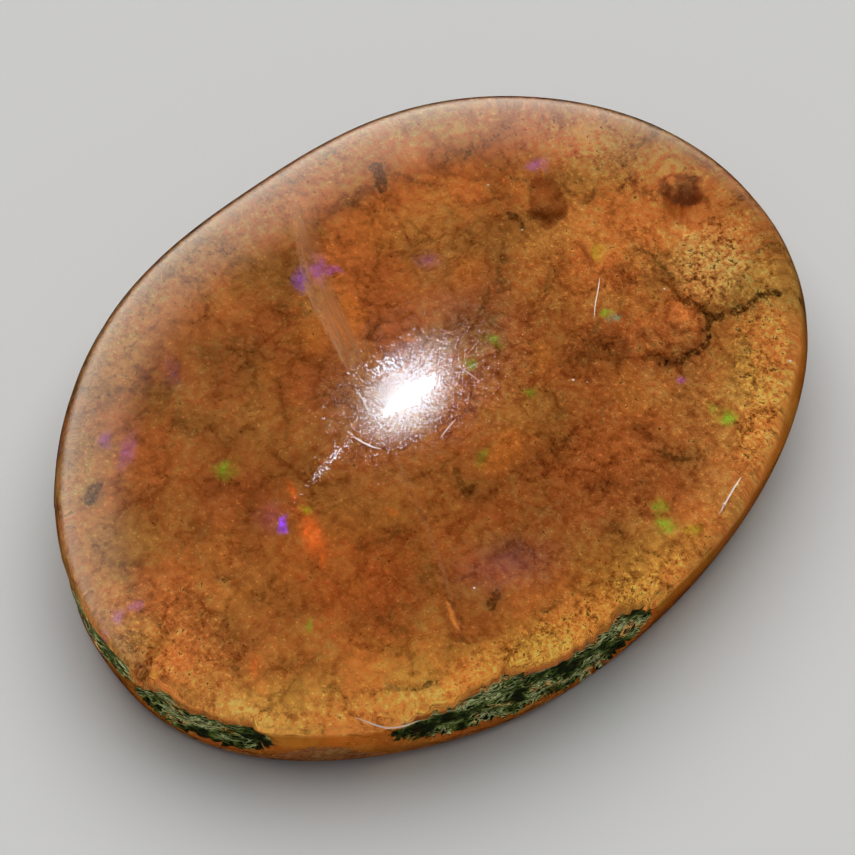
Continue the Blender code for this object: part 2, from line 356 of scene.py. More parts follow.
# Flecks of play of colour: middle, half sizes in pixels, turn in degrees, hue and strength. A firm fleck has
# a harder edge.
violet, blueViolet, vividBlue = (0.30, 0.05, 0.75), (0.16, 0.06, 0.95), (0.14, 0.03, 0.95)
green, yellowGreen, teal = (0.10, 0.42, 0.02), (0.38, 0.50, 0.01), (0.05, 0.5, 0.4)
flame, paleFlame = (0.95, 0.16, 0.02), (0.9, 0.36, 0.08)
skinFlecks = {
    "violet by the fracture": {"at": (318, 271), "half": (9, 12), "hue": violet, "glow": 0.9},
    "its right arm": {"at": (332, 272), "half": (12, 4), "turn": -10, "hue": violet, "glow": 0.7},
    "blue left of it": {"at": (300, 279), "half": (8, 13), "hue": blueViolet, "glow": 0.55},
    "vivid blue": {
        "at": (281, 524), "half": (6, 9), "turn": -10, "hue": vividBlue, "glow": 1.9, "firm": 1.2},
    "halo beside the vivid blue": {
        "at": (271, 517), "half": (14, 15), "hue": violet, "glow": 0.12},
    "flame": {"at": (312, 533), "half": (12, 27), "turn": 18, "hue": flame, "glow": 0.5, "firm": 1.5},
    "flame's tip": {
        "at": (291, 492), "half": (4, 13), "turn": 25, "hue": flame, "glow": 0.45, "firm": 1.5},
    "flame's tail": {"at": (322, 560), "half": (5, 10), "turn": 10, "hue": flame, "glow": 0.5},
    "yellow spark": {"at": (306, 507), "half": (7, 5), "hue": yellowGreen, "glow": 0.6},
    "left green": {"at": (225, 470), "half": (12, 9), "turn": 20, "hue": green, "glow": 0.8},
    "upper green": {"at": (493, 340), "half": (11, 5), "turn": -20, "hue": green, "glow": 1.0},
    "upper green drop": {"at": (471, 362), "half": (6, 5), "hue": green, "glow": 1.0},
    "green near the middle": {"at": (531, 394), "half": (6, 6), "hue": green, "glow": 0.9},
    "green streak": {"at": (483, 455), "half": (5, 13), "turn": -25, "hue": green, "glow": 0.5},
    "green haze": {"at": (596, 252), "half": (6, 9), "hue": yellowGreen, "glow": 0.5},
    "green right": {"at": (605, 312), "half": (8, 6), "hue": green, "glow": 0.9},
    "teal right": {"at": (616, 318), "half": (6, 5), "hue": teal, "glow": 0.8},
    "far green": {"at": (727, 418), "half": (11, 7), "hue": green, "glow": 1.1},
    "far green upper": {"at": (713, 407), "half": (6, 5), "hue": green, "glow": 0.6},
    "low green upper": {"at": (660, 506), "half": (8, 7), "hue": green, "glow": 0.8},
    "low green": {"at": (664, 524), "half": (12, 8), "turn": -20, "hue": green, "glow": 1.0},
    "low yellow green": {"at": (694, 530), "half": (10, 5), "turn": 25, "hue": yellowGreen, "glow": 0.9},
    "bottom green": {"at": (310, 627), "half": (4, 6), "hue": green, "glow": 1.0},
    "left yellow green": {"at": (150, 674), "half": (8, 6), "hue": yellowGreen, "glow": 0.5},
    "upper violet": {"at": (535, 165), "half": (10, 7), "turn": 20, "hue": violet, "glow": 0.5},
    "faint violet": {"at": (430, 260), "half": (13, 9), "hue": violet, "glow": 0.2},
    "left violet": {"at": (104, 440), "half": (6, 8), "hue": violet, "glow": 0.5},
    "left violet beside": {"at": (127, 452), "half": (8, 18), "turn": -20, "hue": violet, "glow": 0.35},
    "low left violet": {"at": (118, 618), "half": (8, 9), "hue": violet, "glow": 0.5},
    "low left violet beside": {"at": (135, 606), "half": (8, 5), "turn": 20, "hue": violet, "glow": 0.4},
    "violet haze": {"at": (505, 565), "half": (50, 26), "turn": 10, "hue": violet, "glow": 0.07},
    "violet dot": {"at": (681, 381), "half": (4, 4), "hue": violet, "glow": 1.0},
    "violet haze left": {"at": (172, 372), "half": (10, 18), "turn": 15, "hue": violet, "glow": 0.1},
    "faint flame": {"at": (256, 665), "half": (7, 16), "hue": flame, "glow": 0.3},
    # painted highlight: a glowing line at the lower end of the fracture
    "painted highlight at the end of the fracture": {
        "at": (452, 616), "half": (3, 21), "turn": 24, "hue": paleFlame, "glow": 0.5, "firm": 1.8},
}

# Broad tones of the skin: middle, half sizes in pixels, turn in degrees, and what they multiply its colour
# by. A crisp one has a harder edge.
skinTones = {
    "bright top": {"at": (500, 140), "half": (230, 60), "turn": 20, "tint": (1.5, 1.5, 1.45)},
    "bright upper right": {"at": (625, 205), "half": (110, 85), "turn": 25, "tint": (1.45, 1.42, 1.35)},
    "bright beside the ledges": {"at": (692, 296), "half": (30, 24), "tint": (1.6, 1.6, 1.6)},
    "bright far left": {"at": (213, 300), "half": (38, 34), "tint": (1.25, 1.3, 1.3)},
    "dark left rim": {"at": (86, 430), "half": (26, 60), "turn": -10, "tint": (0.76, 0.72, 0.74)},
    "bright by the left crust": {"at": (152, 655), "half": (30, 30), "tint": (1.4, 1.4, 1.4)},
    "bright above the left crust": {
        "at": (240, 716), "half": (52, 22), "turn": -15, "tint": (1.2, 1.22, 1.3)},
    "dark by the thick fibre": {
        "at": (752, 488), "half": (30, 34), "tint": (0.82, 0.82, 0.82)},
    "bright upper left": {"at": (240, 250), "half": (130, 70), "turn": 45, "tint": (1.12, 1.16, 1.2)},
    "bright by the fracture": {"at": (331, 295), "half": (32, 60), "turn": -20, "tint": (1.3, 1.3, 1.3)},
    "bright lower left": {"at": (185, 620), "half": (60, 75), "turn": -30, "tint": (1.2, 1.2, 1.18)},
    "bright low": {"at": (415, 665), "half": (65, 40), "tint": (1.2, 1.2, 1.15)},
    "dark above the lamp": {"at": (475, 315), "half": (55, 65), "tint": (0.82, 0.84, 0.88)},
    "bright left": {"at": (150, 330), "half": (60, 60), "turn": 45, "tint": (1.05, 1.2, 1.2)},
    "smoky": {"at": (590, 350), "half": (75, 45), "turn": 15, "tint": (0.9, 0.87, 0.86)},
    "golden right edge": {"at": (775, 400), "half": (55, 190), "turn": 8, "tint": (1.32, 1.52, 1.35)},
    "golden upper right": {"at": (690, 200), "half": (110, 80), "turn": -30, "tint": (1.12, 1.3, 1.35)},
    "golden bottom": {"at": (330, 700), "half": (200, 60), "turn": 10, "tint": (1.25, 1.5, 1.3)},
    "golden lower right": {"at": (600, 610), "half": (150, 50), "turn": 35, "tint": (1.2, 1.4, 1.1)},
    "left edge": {"at": (95, 570), "half": (50, 130), "turn": 15, "tint": (0.95, 1.05, 1.08)},
    "dark middle": {"at": (560, 500), "half": (110, 80), "turn": 10, "tint": (0.83, 0.8, 0.79)},
    "dark left of the lamp's tail": {
        "at": (265, 480), "half": (95, 45), "tint": (0.86, 0.86, 0.86)},
    "dark left of the middle": {
        "at": (215, 370), "half": (60, 70), "turn": 20, "tint": (0.93, 0.95, 1.02)},
    "brown lower middle": {"at": (420, 570), "half": (70, 80), "turn": 10, "tint": (0.98, 0.95, 0.9)},
    "brown hollow": {
        "at": (548, 202), "half": (20, 28), "turn": 12, "crisp": 6.0, "tint": (0.6, 0.46, 0.44)},
    "brown pit": {
        "at": (680, 190), "half": (27, 17), "turn": -12, "crisp": 9.0, "tint": (0.52, 0.41, 0.40)},
    # painted highlight and painted shade: a glint in the pit and its darker bottom
    "glint in the pit": {
        "at": (670, 180), "half": (6, 4), "turn": 20, "crisp": 2.0, "tint": (2.3, 2.8, 3.0)},
    "painted shade at the bottom of the pit": {
        "at": (684, 199), "half": (14, 7), "crisp": 2.0, "tint": (0.6, 0.6, 0.65)},
    "pale plate": {
        "at": (715, 255), "half": (48, 50), "turn": 10, "crisp": 1.5, "tint": (1.12, 1.22, 1.4)},
    "red low left": {"at": (330, 580), "half": (70, 70), "tint": (1.05, 0.84, 0.75)},
}

# Sandy, porous patches of the skin
porousPatches = {
    "broken plate": {"at": (712, 262), "half": (52, 52), "share": 1.0},
    "right edge": {"at": (770, 400), "half": (48, 180), "turn": 8, "share": 0.9},
    "bottom": {"at": (560, 650), "half": (230, 50), "turn": 33, "share": 0.85},
    "right side": {"at": (620, 380), "half": (190, 240), "share": 0.35},
    "upper right": {"at": (600, 150), "half": (90, 45), "turn": -25, "share": 0.6},
    "lower left": {"at": (170, 640), "half": (80, 70), "turn": -40, "share": 0.5},
}

skinSettings = {
    "cellsAlong": 264,
    "cellsAcross": 196,
    "level": 0.06,  # mm, mean height of the skin
    "foldMargin": 0.05,  # how deep a ray dives into the stone at least, for its pixel to be mapped
    "foldBend": 1.8,  # how the pixels' reach goes with the root that the fold makes
    "beyondFold": 1.25,  # past the fold the pattern is as even as on the plain skin
    "drawnIn": 0.8,  # share by which the pattern follows the photo's pixels and not the plain skin
    "magnified": 0.8,  # mm of the skin that show where a mm would show without the dome
    "waviness": 0.05,  # mm, lift of the low lumps
    "lumpSize": 0.9,  # mm from lump to lump
    "roughness": 0.03,  # mm, lift of the fine grains
    "grainSize": 0.2,
    "wander": 5.0,  # pixels by which drawn marks wander
    "wanderSize": 15.0,
    "breakSize": 11.0,  # pixels from break to break in the edges of drawn marks
    # painted light: the skin is made brighter towards the rim
    "rimLight": 0.4,  # how much brighter the skin is where the rim draws it out
    "rimInside": 70.0,  # pixels inwards over which that light fades
    "rimBeyond": 90.0,  # and outwards, past the fold
    "rimPores": (0.45, 60.0),  # how sandy the rim is, and the pixels inwards over which that fades
    "calm": (0.28, 17.0),  # strength of the pattern at the fold, and pixels to its full strength
    "veinFray": 0.5,  # share by which a vein's width varies
    "veinEdge": 1.5,  # pixels, softness of a vein's edge where it says nothing else
    "veinReach": 8.0,  # how far from a vein it still counts, in widths of its edge
    "crisp": 0.8,  # hardness of a tone's edge where it says nothing else
    "hollowStray": 0.1,  # mm by which the edges of the hollows wander
    "hollowStraySize": 0.22,
    "hollowFray": 0.4,
    "edgeFade": 0.02,  # share of the back's half width over which the relief fades to the edge
}

# Broken hollows in the back, as in the solid: place, half sizes and depth in mm, turn in degrees
backHollows = (
    {"at": (5.66, 0.12), "half": (0.74, 0.60), "depth": 0.30, "turn": 12},
    {"at": (4.55, -0.42), "half": (0.60, 0.38), "depth": 0.22, "turn": 8},
    {"at": (6.02, 1.26), "half": (0.34, 0.22), "depth": 0.42, "turn": 30},
    {"at": (4.20, 2.28), "half": (0.32, 0.24), "depth": 0.26, "turn": -20},
    {"at": (-5.55, 0.20), "half": (0.36, 0.22), "depth": 0.24, "turn": 40},
    {"at": (-3.10, 3.85), "half": (1.05, 0.50), "depth": 0.16, "turn": 22},
    {"at": (2.60, -3.75), "half": (0.95, 0.60), "depth": 0.20, "turn": -14},
    {"at": (-2.40, -4.05), "half": (0.55, 0.40), "depth": 0.18, "turn": 35},
)

# Patches of crust on the flank: middle and reach in degrees, heights and depth in mm. They are as in the
# solid, but for the last, a film that the solid leaves out.
crustPatches = (
    {"angle": -110, "reach": 27, "low": 0.55, "high": 2.65, "depth": 0.17},
    {"angle": -92, "reach": 15, "low": 0.20, "high": 2.70, "depth": 0.15},
    {"angle": -161, "reach": 12, "low": 0.40, "high": 2.30, "depth": 0.13},
    {"angle": 165, "reach": 17, "low": 1.00, "high": 2.20, "depth": 0.10},
    {"angle": -179, "reach": 9, "low": 1.70, "high": 2.30, "depth": 0.03},
)
crustSettings = {
    "lump": 0.09,  # mm, height of the lumps
    "lumpSize": 0.45,
    "fray": 0.45,  # how unevenly a patch ends
    "fineFray": 0.22,
    "ridge": 0.05,  # mm, height of the slanting ridges
    "ridgesRound": 11.0,  # ridges to a radian of the flank
    "ridgesUp": 9.0,  # and to a mm of its height
    "ridgeSlant": 2.0,
    "top": 3.3,  # mm, no crust is above this height
    "least": 0.35,  # share of crust from which a face is shown as crust
}


def noiseAt(xs, ys, size, shift=0.0):
    return np.array([noise.noise(Vector((x / size, y / size, shift))) for x, y in zip(xs, ys)])


def smooth(values):
    held = np.clip(values, 0, 1)
    return held * held * (3 - 2 * held)


def lineDistance(xs, ys, line):
    nearest = np.full(len(xs), 1e9)
    for (ax, ay), (bx, by) in zip(line, line[1:]):
        alongX, alongY = bx - ax, by - ay
        share = np.clip(((xs - ax) * alongX + (ys - ay) * alongY) / (alongX**2 + alongY**2), 0, 1)
        nearest = np.minimum(nearest, np.hypot(xs - ax - share * alongX, ys - ay - share * alongY))
    return nearest


def spotLevel(xs, ys, spot):
    # 0 in the middle of a spot and 1 at its edge
    turn = math.radians(spot.get("turn", 0))
    dx, dy = xs - spot["at"][0], ys - spot["at"][1]
    along = (dx * math.cos(turn) - dy * math.sin(turn)) / spot["half"][0]
    across = (dx * math.sin(turn) + dy * math.cos(turn)) / spot["half"][1]
    return np.hypot(along, across)


def makeSkinGrid():
    # a square grid whose edge is drawn out to the outline of the back
    bpy.ops.object.select_all(action="DESELECT")
    bpy.ops.mesh.primitive_grid_add(
        x_subdivisions=skinSettings["cellsAlong"], y_subdivisions=skinSettings["cellsAcross"], size=2)
    stone = bpy.context.object
    stone.name = stone.data.name = "opalStone"
    mesh = stone.data
    places = np.zeros(len(mesh.vertices) * 3)
    mesh.vertices.foreach_get("co", places)
    places = places.reshape(-1, 3)
    u, v = places[:, 0].copy(), places[:, 1].copy()
    x, y = u * np.sqrt(1 - v**2 / 2), v * np.sqrt(1 - u**2 / 2)
    angle, reach = np.arctan2(y, x), np.hypot(x, y)
    # the circle's angles are turned to the oval's, so that the cells stay even
    angle = np.arctan2(np.sin(angle) * stoneForm["width"], np.cos(angle) * stoneForm["length"])
    radius = (outlineRadius(angle) - flankInset(0.0)) * reach
    places[:, 0], places[:, 1] = radius * np.cos(angle) - middleX, radius * np.sin(angle) - middleY
    mesh.vertices.foreach_set("co", places.ravel())
    mesh.update()
    return stone, places[:, 0] / mm, places[:, 1] / mm, 1 - reach


stone, skinX, skinY, skinEdge = makeSkinGrid()
print("skin grid made", len(skinX))


def skinLift():
    # height of each point of the skin in mm: low lumps, grains, hollows and ledges
    breaks = noiseAt(skinX, skinY, skinSettings["hollowStraySize"], 11.0)
    stray = skinSettings["hollowStray"] * breaks
    lift = skinSettings["waviness"] * np.abs(noiseAt(skinX, skinY, skinSettings["lumpSize"], 1.0))
    lift += skinSettings["roughness"] * np.abs(noiseAt(skinX, skinY, skinSettings["grainSize"], 2.0))
    for hollow in backHollows:
        turn = math.radians(hollow["turn"])
        dx, dy = skinX + stray - hollow["at"][0], skinY - stray - hollow["at"][1]
        along = (dx * math.cos(turn) + dy * math.sin(turn)) / hollow["half"][0]
        across = (dy * math.cos(turn) - dx * math.sin(turn)) / hollow["half"][1]
        inside = np.clip(1 - along**2 - across**2 + skinSettings["hollowFray"] * breaks, 0, 1)
        lift = np.maximum(lift, hollow["depth"] * np.sqrt(inside))
    return lift * smooth(skinEdge / skinSettings["edgeFade"])


def liftSkin(lift):
    places = np.zeros(len(skinX) * 3)
    stone.data.vertices.foreach_get("co", places)
    places[2::3] = lift * mm
    stone.data.vertices.foreach_set("co", places)


skinHeight = skinLift()
liftSkin(skinHeight)
print("skin lifted")


def flatPixels(x, y):
    # how a step along the flat back, in mm, shows in the photo with nothing over it
    return (x * cosA + y * sinA) * view["pixelsPerMm"], (x * sinA - y * cosA) * sinE * view["pixelsPerMm"]


def lookUp(table, turn, share):
    # reads a table of directions and shares between its rows and columns
    rows, columns = table.shape
    row, column = (turn / math.pi + 1) / 2 * (rows - 1), share * (columns - 1)
    i, j = np.clip(row.astype(int), 0, rows - 2), np.clip(column.astype(int), 0, columns - 2)
    down, across = row - i, column - j
    upper = table[i, j] * (1 - across) + table[i, j + 1] * across
    lower = table[i + 1, j] * (1 - across) + table[i + 1, j + 1] * across
    return upper * (1 - down) + lower * down


def traceSkin():
    # for each direction of the photo: how far out the skin shows before it folds back, and where on the way
    middle, shares = view["middlePixel"], np.linspace(0, 1, 80)
    turns, reaches = np.linspace(-math.pi, math.pi, 181), np.arange(0, 430, 2.0)
    turnGrid, reachGrid = np.meshgrid(turns, reaches, indexing="ij")
    xs = (middle[0] + reachGrid * np.cos(turnGrid)).ravel()
    ys = (middle[1] + reachGrid * np.sin(turnGrid)).ravel()
    places, _, _, dive = surfaceAt(xs, ys)
    x, y, slopes = skinAt(xs, ys)
    slopes = slopes.reshape((*turnGrid.shape, 2))
    flatX, flatY = flatPixels(x - x[0], y - y[0])
    away = np.hypot(flatX, flatY).reshape(turnGrid.shape)
    astray = np.arctan2(flatY, flatX).reshape(turnGrid.shape) - turnGrid
    astray = (astray + math.pi) % (2 * math.pi) - math.pi
    plain = (dive < -skinSettings["foldMargin"]) & (places[:, 2] > stoneForm["girdle"])
    plain = plain.reshape(turnGrid.shape)
    edges, tables = [], []
    for i in range(len(turns)):
        last = int(np.argmax(np.where(plain[i], away[i], -1)))
        root = 1 - np.sqrt(1 - away[i, :last + 1] / away[i, last])
        edges.append((reaches[last], away[i, last]))
        columns = (reaches, astray[i], slopes[i, :, 0], slopes[i, :, 1])
        tables.append([np.interp(shares, root, column[:last + 1]) for column in columns])
    return (x[0], y[0]), turns, np.array(edges).T, np.array(tables).swapaxes(0, 1)


def mapSkin():
    # The pixels in which the photo's camera sees the points of the skin, how far inside the fold these are, and
    # the skin's pattern. At the fold it goes with a root, which the shader draws, so each point keeps where it
    # starts, its way, and its share of the way to the fold.
    (midX, midY), turns, (limits, farthest), (reachTable, turnTable, slopeX, slopeY) = traceSkin()
    raised = skinHeight - skinSettings["level"]
    shiftX, shiftY = np.zeros(len(skinX)), np.zeros(len(skinX))
    for _ in range(3):
        flatX, flatY = flatPixels(skinX + shiftX - midX, skinY + shiftY - midY)
        away, way = np.hypot(flatX, flatY), np.arctan2(flatY, flatX)
        turn = way.copy()
        for _ in range(6):
            edge = np.interp(turn, turns, farthest)
            root = 1 - np.sqrt(1 - np.minimum(away / edge, 1))
            turn = (way - lookUp(turnTable, turn, root) + math.pi) % (2 * math.pi) - math.pi
        shiftX, shiftY = lookUp(slopeX, turn, root) * raised, lookUp(slopeY, turn, root) * raised
    reach = lookUp(reachTable, turn, root) + skinSettings["beyondFold"] * np.maximum(away - edge, 0)
    limit, bend = np.interp(turn, turns, limits), skinSettings["foldBend"]
    ways = np.stack((np.cos(turn), np.sin(turn)))
    starts = ways * (reach - limit * root * (bend - (bend - 1) * root))
    seen = ways * reach + np.array(view["middlePixel"])[:, None]
    starts = toPattern(starts, 1 - skinSettings["drawnIn"])
    return *seen, limit - reach, starts, toPattern(ways * limit), away / edge


def toPattern(steps, plain=0.0):
    # how steps in the photo lie on the skin in mm, mixed with the plain places of its points
    across = steps[0] / view["pixelsPerMm"] * skinSettings["magnified"]
    down = steps[1] / view["pixelsPerMm"] / sinE * skinSettings["magnified"]
    x, y = across * cosA + down * sinA, across * sinA - down * cosA
    followed = skinSettings["drawnIn"]
    return np.stack((followed * x + plain * skinX, followed * y + plain * skinY, 0 * x), axis=1)


seenX, seenY, inward, patternStart, patternWay, foldShare = mapSkin()
wanderX = seenX + skinSettings["wander"] * noiseAt(seenX, seenY, skinSettings["wanderSize"], 3.0)
wanderY = seenY + skinSettings["wander"] * noiseAt(seenX, seenY, skinSettings["wanderSize"], 7.0)
breaks = noiseAt(seenX, seenY, skinSettings["breakSize"], 11.0)
print("skin mapped")


def drawVeins():
    # how far inside the nearest vein each point lies, in widths of its edge, and how dark that vein is
    reach = skinSettings["veinReach"]
    inside, dark = np.full(len(seenX), -reach), np.zeros(len(seenX))
    for vein in skinVeins.values():
        half = vein["half"] * (1 + skinSettings["veinFray"] * breaks)
        edge = vein.get("edge", skinSettings["veinEdge"])
        level = (half - lineDistance(wanderX, wanderY, vein["line"])) / edge
        nearer = level > inside
        inside, dark = np.where(nearer, level, inside), np.where(nearer, vein["dark"], dark)
    return np.clip(inside, -reach, reach), dark


def drawFlecks():
    # how far inside the nearest fleck each point lies, and that fleck's light
    inside, light = np.full(len(seenX), -1.0), np.zeros((len(seenX), 4))
    for fleck in skinFlecks.values():
        level = fleck.get("firm", 1) * (1 - spotLevel(wanderX, wanderY, fleck))
        nearer = level > inside
        inside = np.where(nearer, level, inside)
        light[nearer, :3] = fleck["glow"] * np.array(fleck["hue"])
        light[nearer, 3] = min(1, fleck["glow"])
    return inside, light


def drawPatches():
    glow = np.zeros(len(seenX))
    for patch in skinPatches.values():
        share = smooth(1.3 * (1.25 + 0.4 * breaks - spotLevel(wanderX, wanderY, patch)))
        glow = np.maximum(glow, patch["glow"] * share)
    return glow


def drawTones():
    # what the broad tones, and the painted light towards the rim, multiply the skin's colour by
    tone = np.ones((len(seenX), 4))
    rim = smooth(1 - inward / skinSettings["rimInside"]) * smooth(1 + inward / skinSettings["rimBeyond"])
    tone[:, :3] += skinSettings["rimLight"] * rim[:, None]
    for patch in skinTones.values():
        crisp = patch.get("crisp", skinSettings["crisp"])
        share = smooth(0.5 + crisp * (0.9 - spotLevel(wanderX, wanderY, patch)))
        tone[:, :3] *= 1 + share[:, None] * (np.array(patch["tint"]) - 1)
    return tone


def drawPores():
    share, reach = skinSettings["rimPores"]
    pores = share * smooth(1 - inward / reach)
    for patch in porousPatches.values():
        inside = smooth(1.6 * (1.1 + 0.3 * breaks - spotLevel(wanderX, wanderY, patch)))
        pores = np.maximum(pores, patch["share"] * inside)
    return pores


def drawCalm():
    # the pattern is quieter where the rim draws it out
    least, reach = skinSettings["calm"]
    return smooth(least + np.abs(inward) / reach)


vein, veinDark = drawVeins()
fleck, fleckLight = drawFlecks()
glow = drawPatches()
tone = drawTones()
pores = drawPores()
calm = drawCalm()
print("marks drawn")


# The skin reaches up the flank, raggedly, and higher in one place, and its tint darkens it there as painted
# shade: heights in mm, angles in degrees
skinEdging = {"height": 0.22, "least": 0.13, "stray": 0.35, "size": 0.8, "rise": 1.0, "angle": -143,
              "reach": 8, "tint": (0.60, 0.44, 0.32)}

# Painted shade, a dark amber band: its middle and reach in degrees, its top above the widest line and its
# fading in mm
edgeBand = {"angle": -8, "reach": 52, "soft": 0.35, "top": 1.0, "fade": 0.3, "foot": 0.25}
flankReach = 7.0  # mm from the middle of the stone to its flank, on average

# The flank and the dome: the grid's edge is drawn up ring by ring
bodyRings = {"edge": 3, "flank": 22, "dome": 20}


def ringHeights():
    form = stoneForm
    for i in range(1, bodyRings["edge"] + 1):
        yield form["edgeRound"] * (1 - math.cos(math.pi / 2 * i / bodyRings["edge"]))
    for i in range(1, bodyRings["flank"] + 1):
        yield form["edgeRound"] + (form["girdle"] - form["edgeRound"]) * i / bodyRings["flank"]
    for i in range(1, bodyRings["dome"]):
        rise = math.sin(math.pi / 2 * i / bodyRings["dome"])
        yield form["girdle"] + (form["height"] - form["girdle"]) * rise


def ringRadius(height):
    # mean radius of the stone at a height, to size the rings by
    mean = (stoneForm["length"] + stoneForm["width"]) / 4
    return (mean - flankInset(height)) * domeScale(height)


def raiseBody():
    bpy.ops.object.mode_set(mode="EDIT")
    bpy.ops.mesh.select_mode(type="EDGE")
    bpy.ops.mesh.select_all(action="DESELECT")
    bpy.ops.mesh.select_non_manifold(
        extend=False, use_wire=False, use_boundary=True, use_multi_face=False, use_non_contiguous=False,
        use_verts=False)
    before = 0.0
    for height in ringHeights():
        bpy.ops.mesh.extrude_region_move(TRANSFORM_OT_translate={"value": (0, 0, height - before)})
        share = ringRadius(height) / ringRadius(before)
        bpy.ops.transform.resize(value=(share, share, 1), center_override=(-middleX, -middleY, height))
        before = height
    bpy.ops.mesh.extrude_region_move(TRANSFORM_OT_translate={"value": (0, 0, stoneForm["height"] - before)})
    bpy.ops.mesh.merge(type="CENTER")
    bpy.ops.mesh.select_all(action="SELECT")
    bpy.ops.mesh.normals_make_consistent(inside=False)
    bpy.ops.object.mode_set(mode="OBJECT")


raiseBody()
print("body raised", len(stone.data.vertices), len(stone.data.polygons))


def crustAt(angle, place):
    # how far inside the crust a place of the flank lies, and how deep it is sunk, in mm
    inside, depth = 0.0, 0.0
    grain = crustSettings["lumpSize"] * mm
    for patch in crustPatches:
        turn = math.remainder(angle - math.radians(patch["angle"]), 2 * math.pi)
        along = turn / math.radians(patch["reach"])
        middle = (patch["low"] + patch["high"]) / 2
        across = (place.z / mm - middle) / (patch["high"] - middle)
        fray = crustSettings["fray"] * noise.noise(place / (2 * grain))
        fray += crustSettings["fineFray"] * noise.noise(place / (0.3 * grain))
        here = min(1.0, max(0.0, 2.5 * (1 + fray - along**2 - across**2)))
        inside = max(inside, here)
        depth = max(depth, here * (patch["depth"] + crustSettings["lump"] * noise.noise(place / grain)))
    return inside, depth


def trueBody():
    # each point above the skin is set on the stone's own form, and the crust is sunk and ridged
    mesh = stone.data
    places = np.zeros(len(mesh.vertices) * 3)
    mesh.vertices.foreach_get("co", places)
    places = places.reshape(-1, 3)
    above = places[len(skinX):]
    z = above[:, 2]
    angle = np.arctan2(above[:, 1] + middleY, above[:, 0] + middleX)
    radius = (outlineRadius(angle) - flankInset(z)) * domeScale(z)
    crust = np.zeros(len(places))
    look = crustSettings
    for i in np.flatnonzero(z < look["top"] * mm):
        spot = Vector((radius[i] * math.cos(angle[i]), radius[i] * math.sin(angle[i]), z[i]))
        inside, depth = crustAt(angle[i], spot)
        height = z[i] / mm
        slanted = angle[i] * look["ridgesRound"] + height * look["ridgeSlant"]
        ridge = noise.noise(Vector((slanted, height * look["ridgesUp"], 0)))
        radius[i] -= (depth - look["ridge"] * inside * ridge) * mm
        crust[len(skinX) + i] = inside
    above[:, 0], above[:, 1] = radius * np.cos(angle) - middleX, radius * np.sin(angle) - middleY
    mesh.vertices.foreach_set("co", places.ravel())
    mesh.update()
    return places / mm, crust


bodyPlaces, crust = trueBody()


def aroundBody(values):
    # carries what the edge of the skin has up the flank, channel by channel
    if values.ndim > 1:
        return np.stack([aroundBody(channel) for channel in values.T], axis=1)
    rim = np.flatnonzero(skinEdge < 1e-6)
    turns = np.arctan2(skinY[rim], skinX[rim])
    order = np.argsort(turns)
    above = bodyPlaces[len(skinX):]
    angle = np.arctan2(above[:, 1], above[:, 0])
    return np.concatenate((values, np.interp(angle, turns[order], values[rim][order], period=2 * math.pi)))


def storeMask(name, values):
    kind = "FLOAT" if values.ndim == 1 else "FLOAT_VECTOR" if values.shape[1] == 3 else "FLOAT_COLOR"
    field = {"FLOAT": "value", "FLOAT_VECTOR": "vector", "FLOAT_COLOR": "color"}[kind]
    mask = stone.data.attributes.new(name, kind, "POINT")
    mask.data.foreach_set(field, np.asarray(values, dtype=np.float32).ravel())


def paintedShadeBand():
    # painted shade: the darker amber band round the stone, strongest at its right end
    rise = bodyPlaces[:, 2] - stoneForm["girdle"] / mm
    turn = np.arctan2(bodyPlaces[:, 1], bodyPlaces[:, 0]) - math.radians(edgeBand["angle"])
    around = smooth((np.cos(turn) - math.cos(math.radians(edgeBand["reach"]))) / edgeBand["soft"])
    return smooth(np.maximum((edgeBand["top"] * around - rise) / edgeBand["fade"], -rise / edgeBand["foot"]))


def storeMasks():
    masks = {"vein": vein, "veinDark": veinDark, "fleck": fleck, "fleckLight": fleckLight, "glow": glow,
             "pores": pores, "calm": calm, "patternWay": patternWay, "foldShare": foldShare}
    for name, values in masks.items():
        storeMask(name, aroundBody(values))
    outside = aroundBody(tone)
    # painted shade: the skin is darker on the flank
    outside[len(skinX):, :3] *= skinEdging["tint"]
    storeMask("tone", outside)
    # above the skin its pattern goes on outwards with the height
    x, y, z = bodyPlaces.T
    outward = np.stack((x, y), axis=1) / np.maximum(np.hypot(x, y), 0.1)[:, None] * z[:, None]
    start = aroundBody(patternStart)
    start[len(skinX):, :2] += outward[len(skinX):]
    storeMask("patternStart", start)
    # the crust's pattern lies on the flank unrolled, in mm
    storeMask("wrap", np.stack((np.arctan2(y, x) * flankReach, z, 0 * z), axis=1))
    storeMask("crust", crust)
    storeMask("paintedShadeBand", paintedShadeBand())


storeMasks()
print("body trued")


# Materials
def newMaterial(name):
    material = bpy.data.materials.new(name)
    material.use_nodes = True
    return material, material.node_tree, material.node_tree.nodes["Principled BSDF"]


def fillSocket(tree, socket, value):
    if isinstance(value, bpy.types.NodeSocket):
        tree.links.new(value, socket)
    elif isinstance(value, tuple) and len(value) == 3 and socket.type == "RGBA":
        socket.default_value = (*value, 1)
    else:
        socket.default_value = value


def fillSockets(tree, node, values):
    for name, value in values.items():
        fillSocket(tree, node.inputs[name], value)


def addNode(tree, kind, values=None, **settings):
    node = tree.nodes.new(kind)
    for name, value in settings.items():
        setattr(node, name, value)
    fillSockets(tree, node, values or {})
    return node


def addMath(tree, operation, *values):
    node = addNode(tree, "ShaderNodeMath", operation=operation)
    for socket, value in zip(node.inputs, values):
        fillSocket(tree, socket, value)
    return node.outputs["Value"]


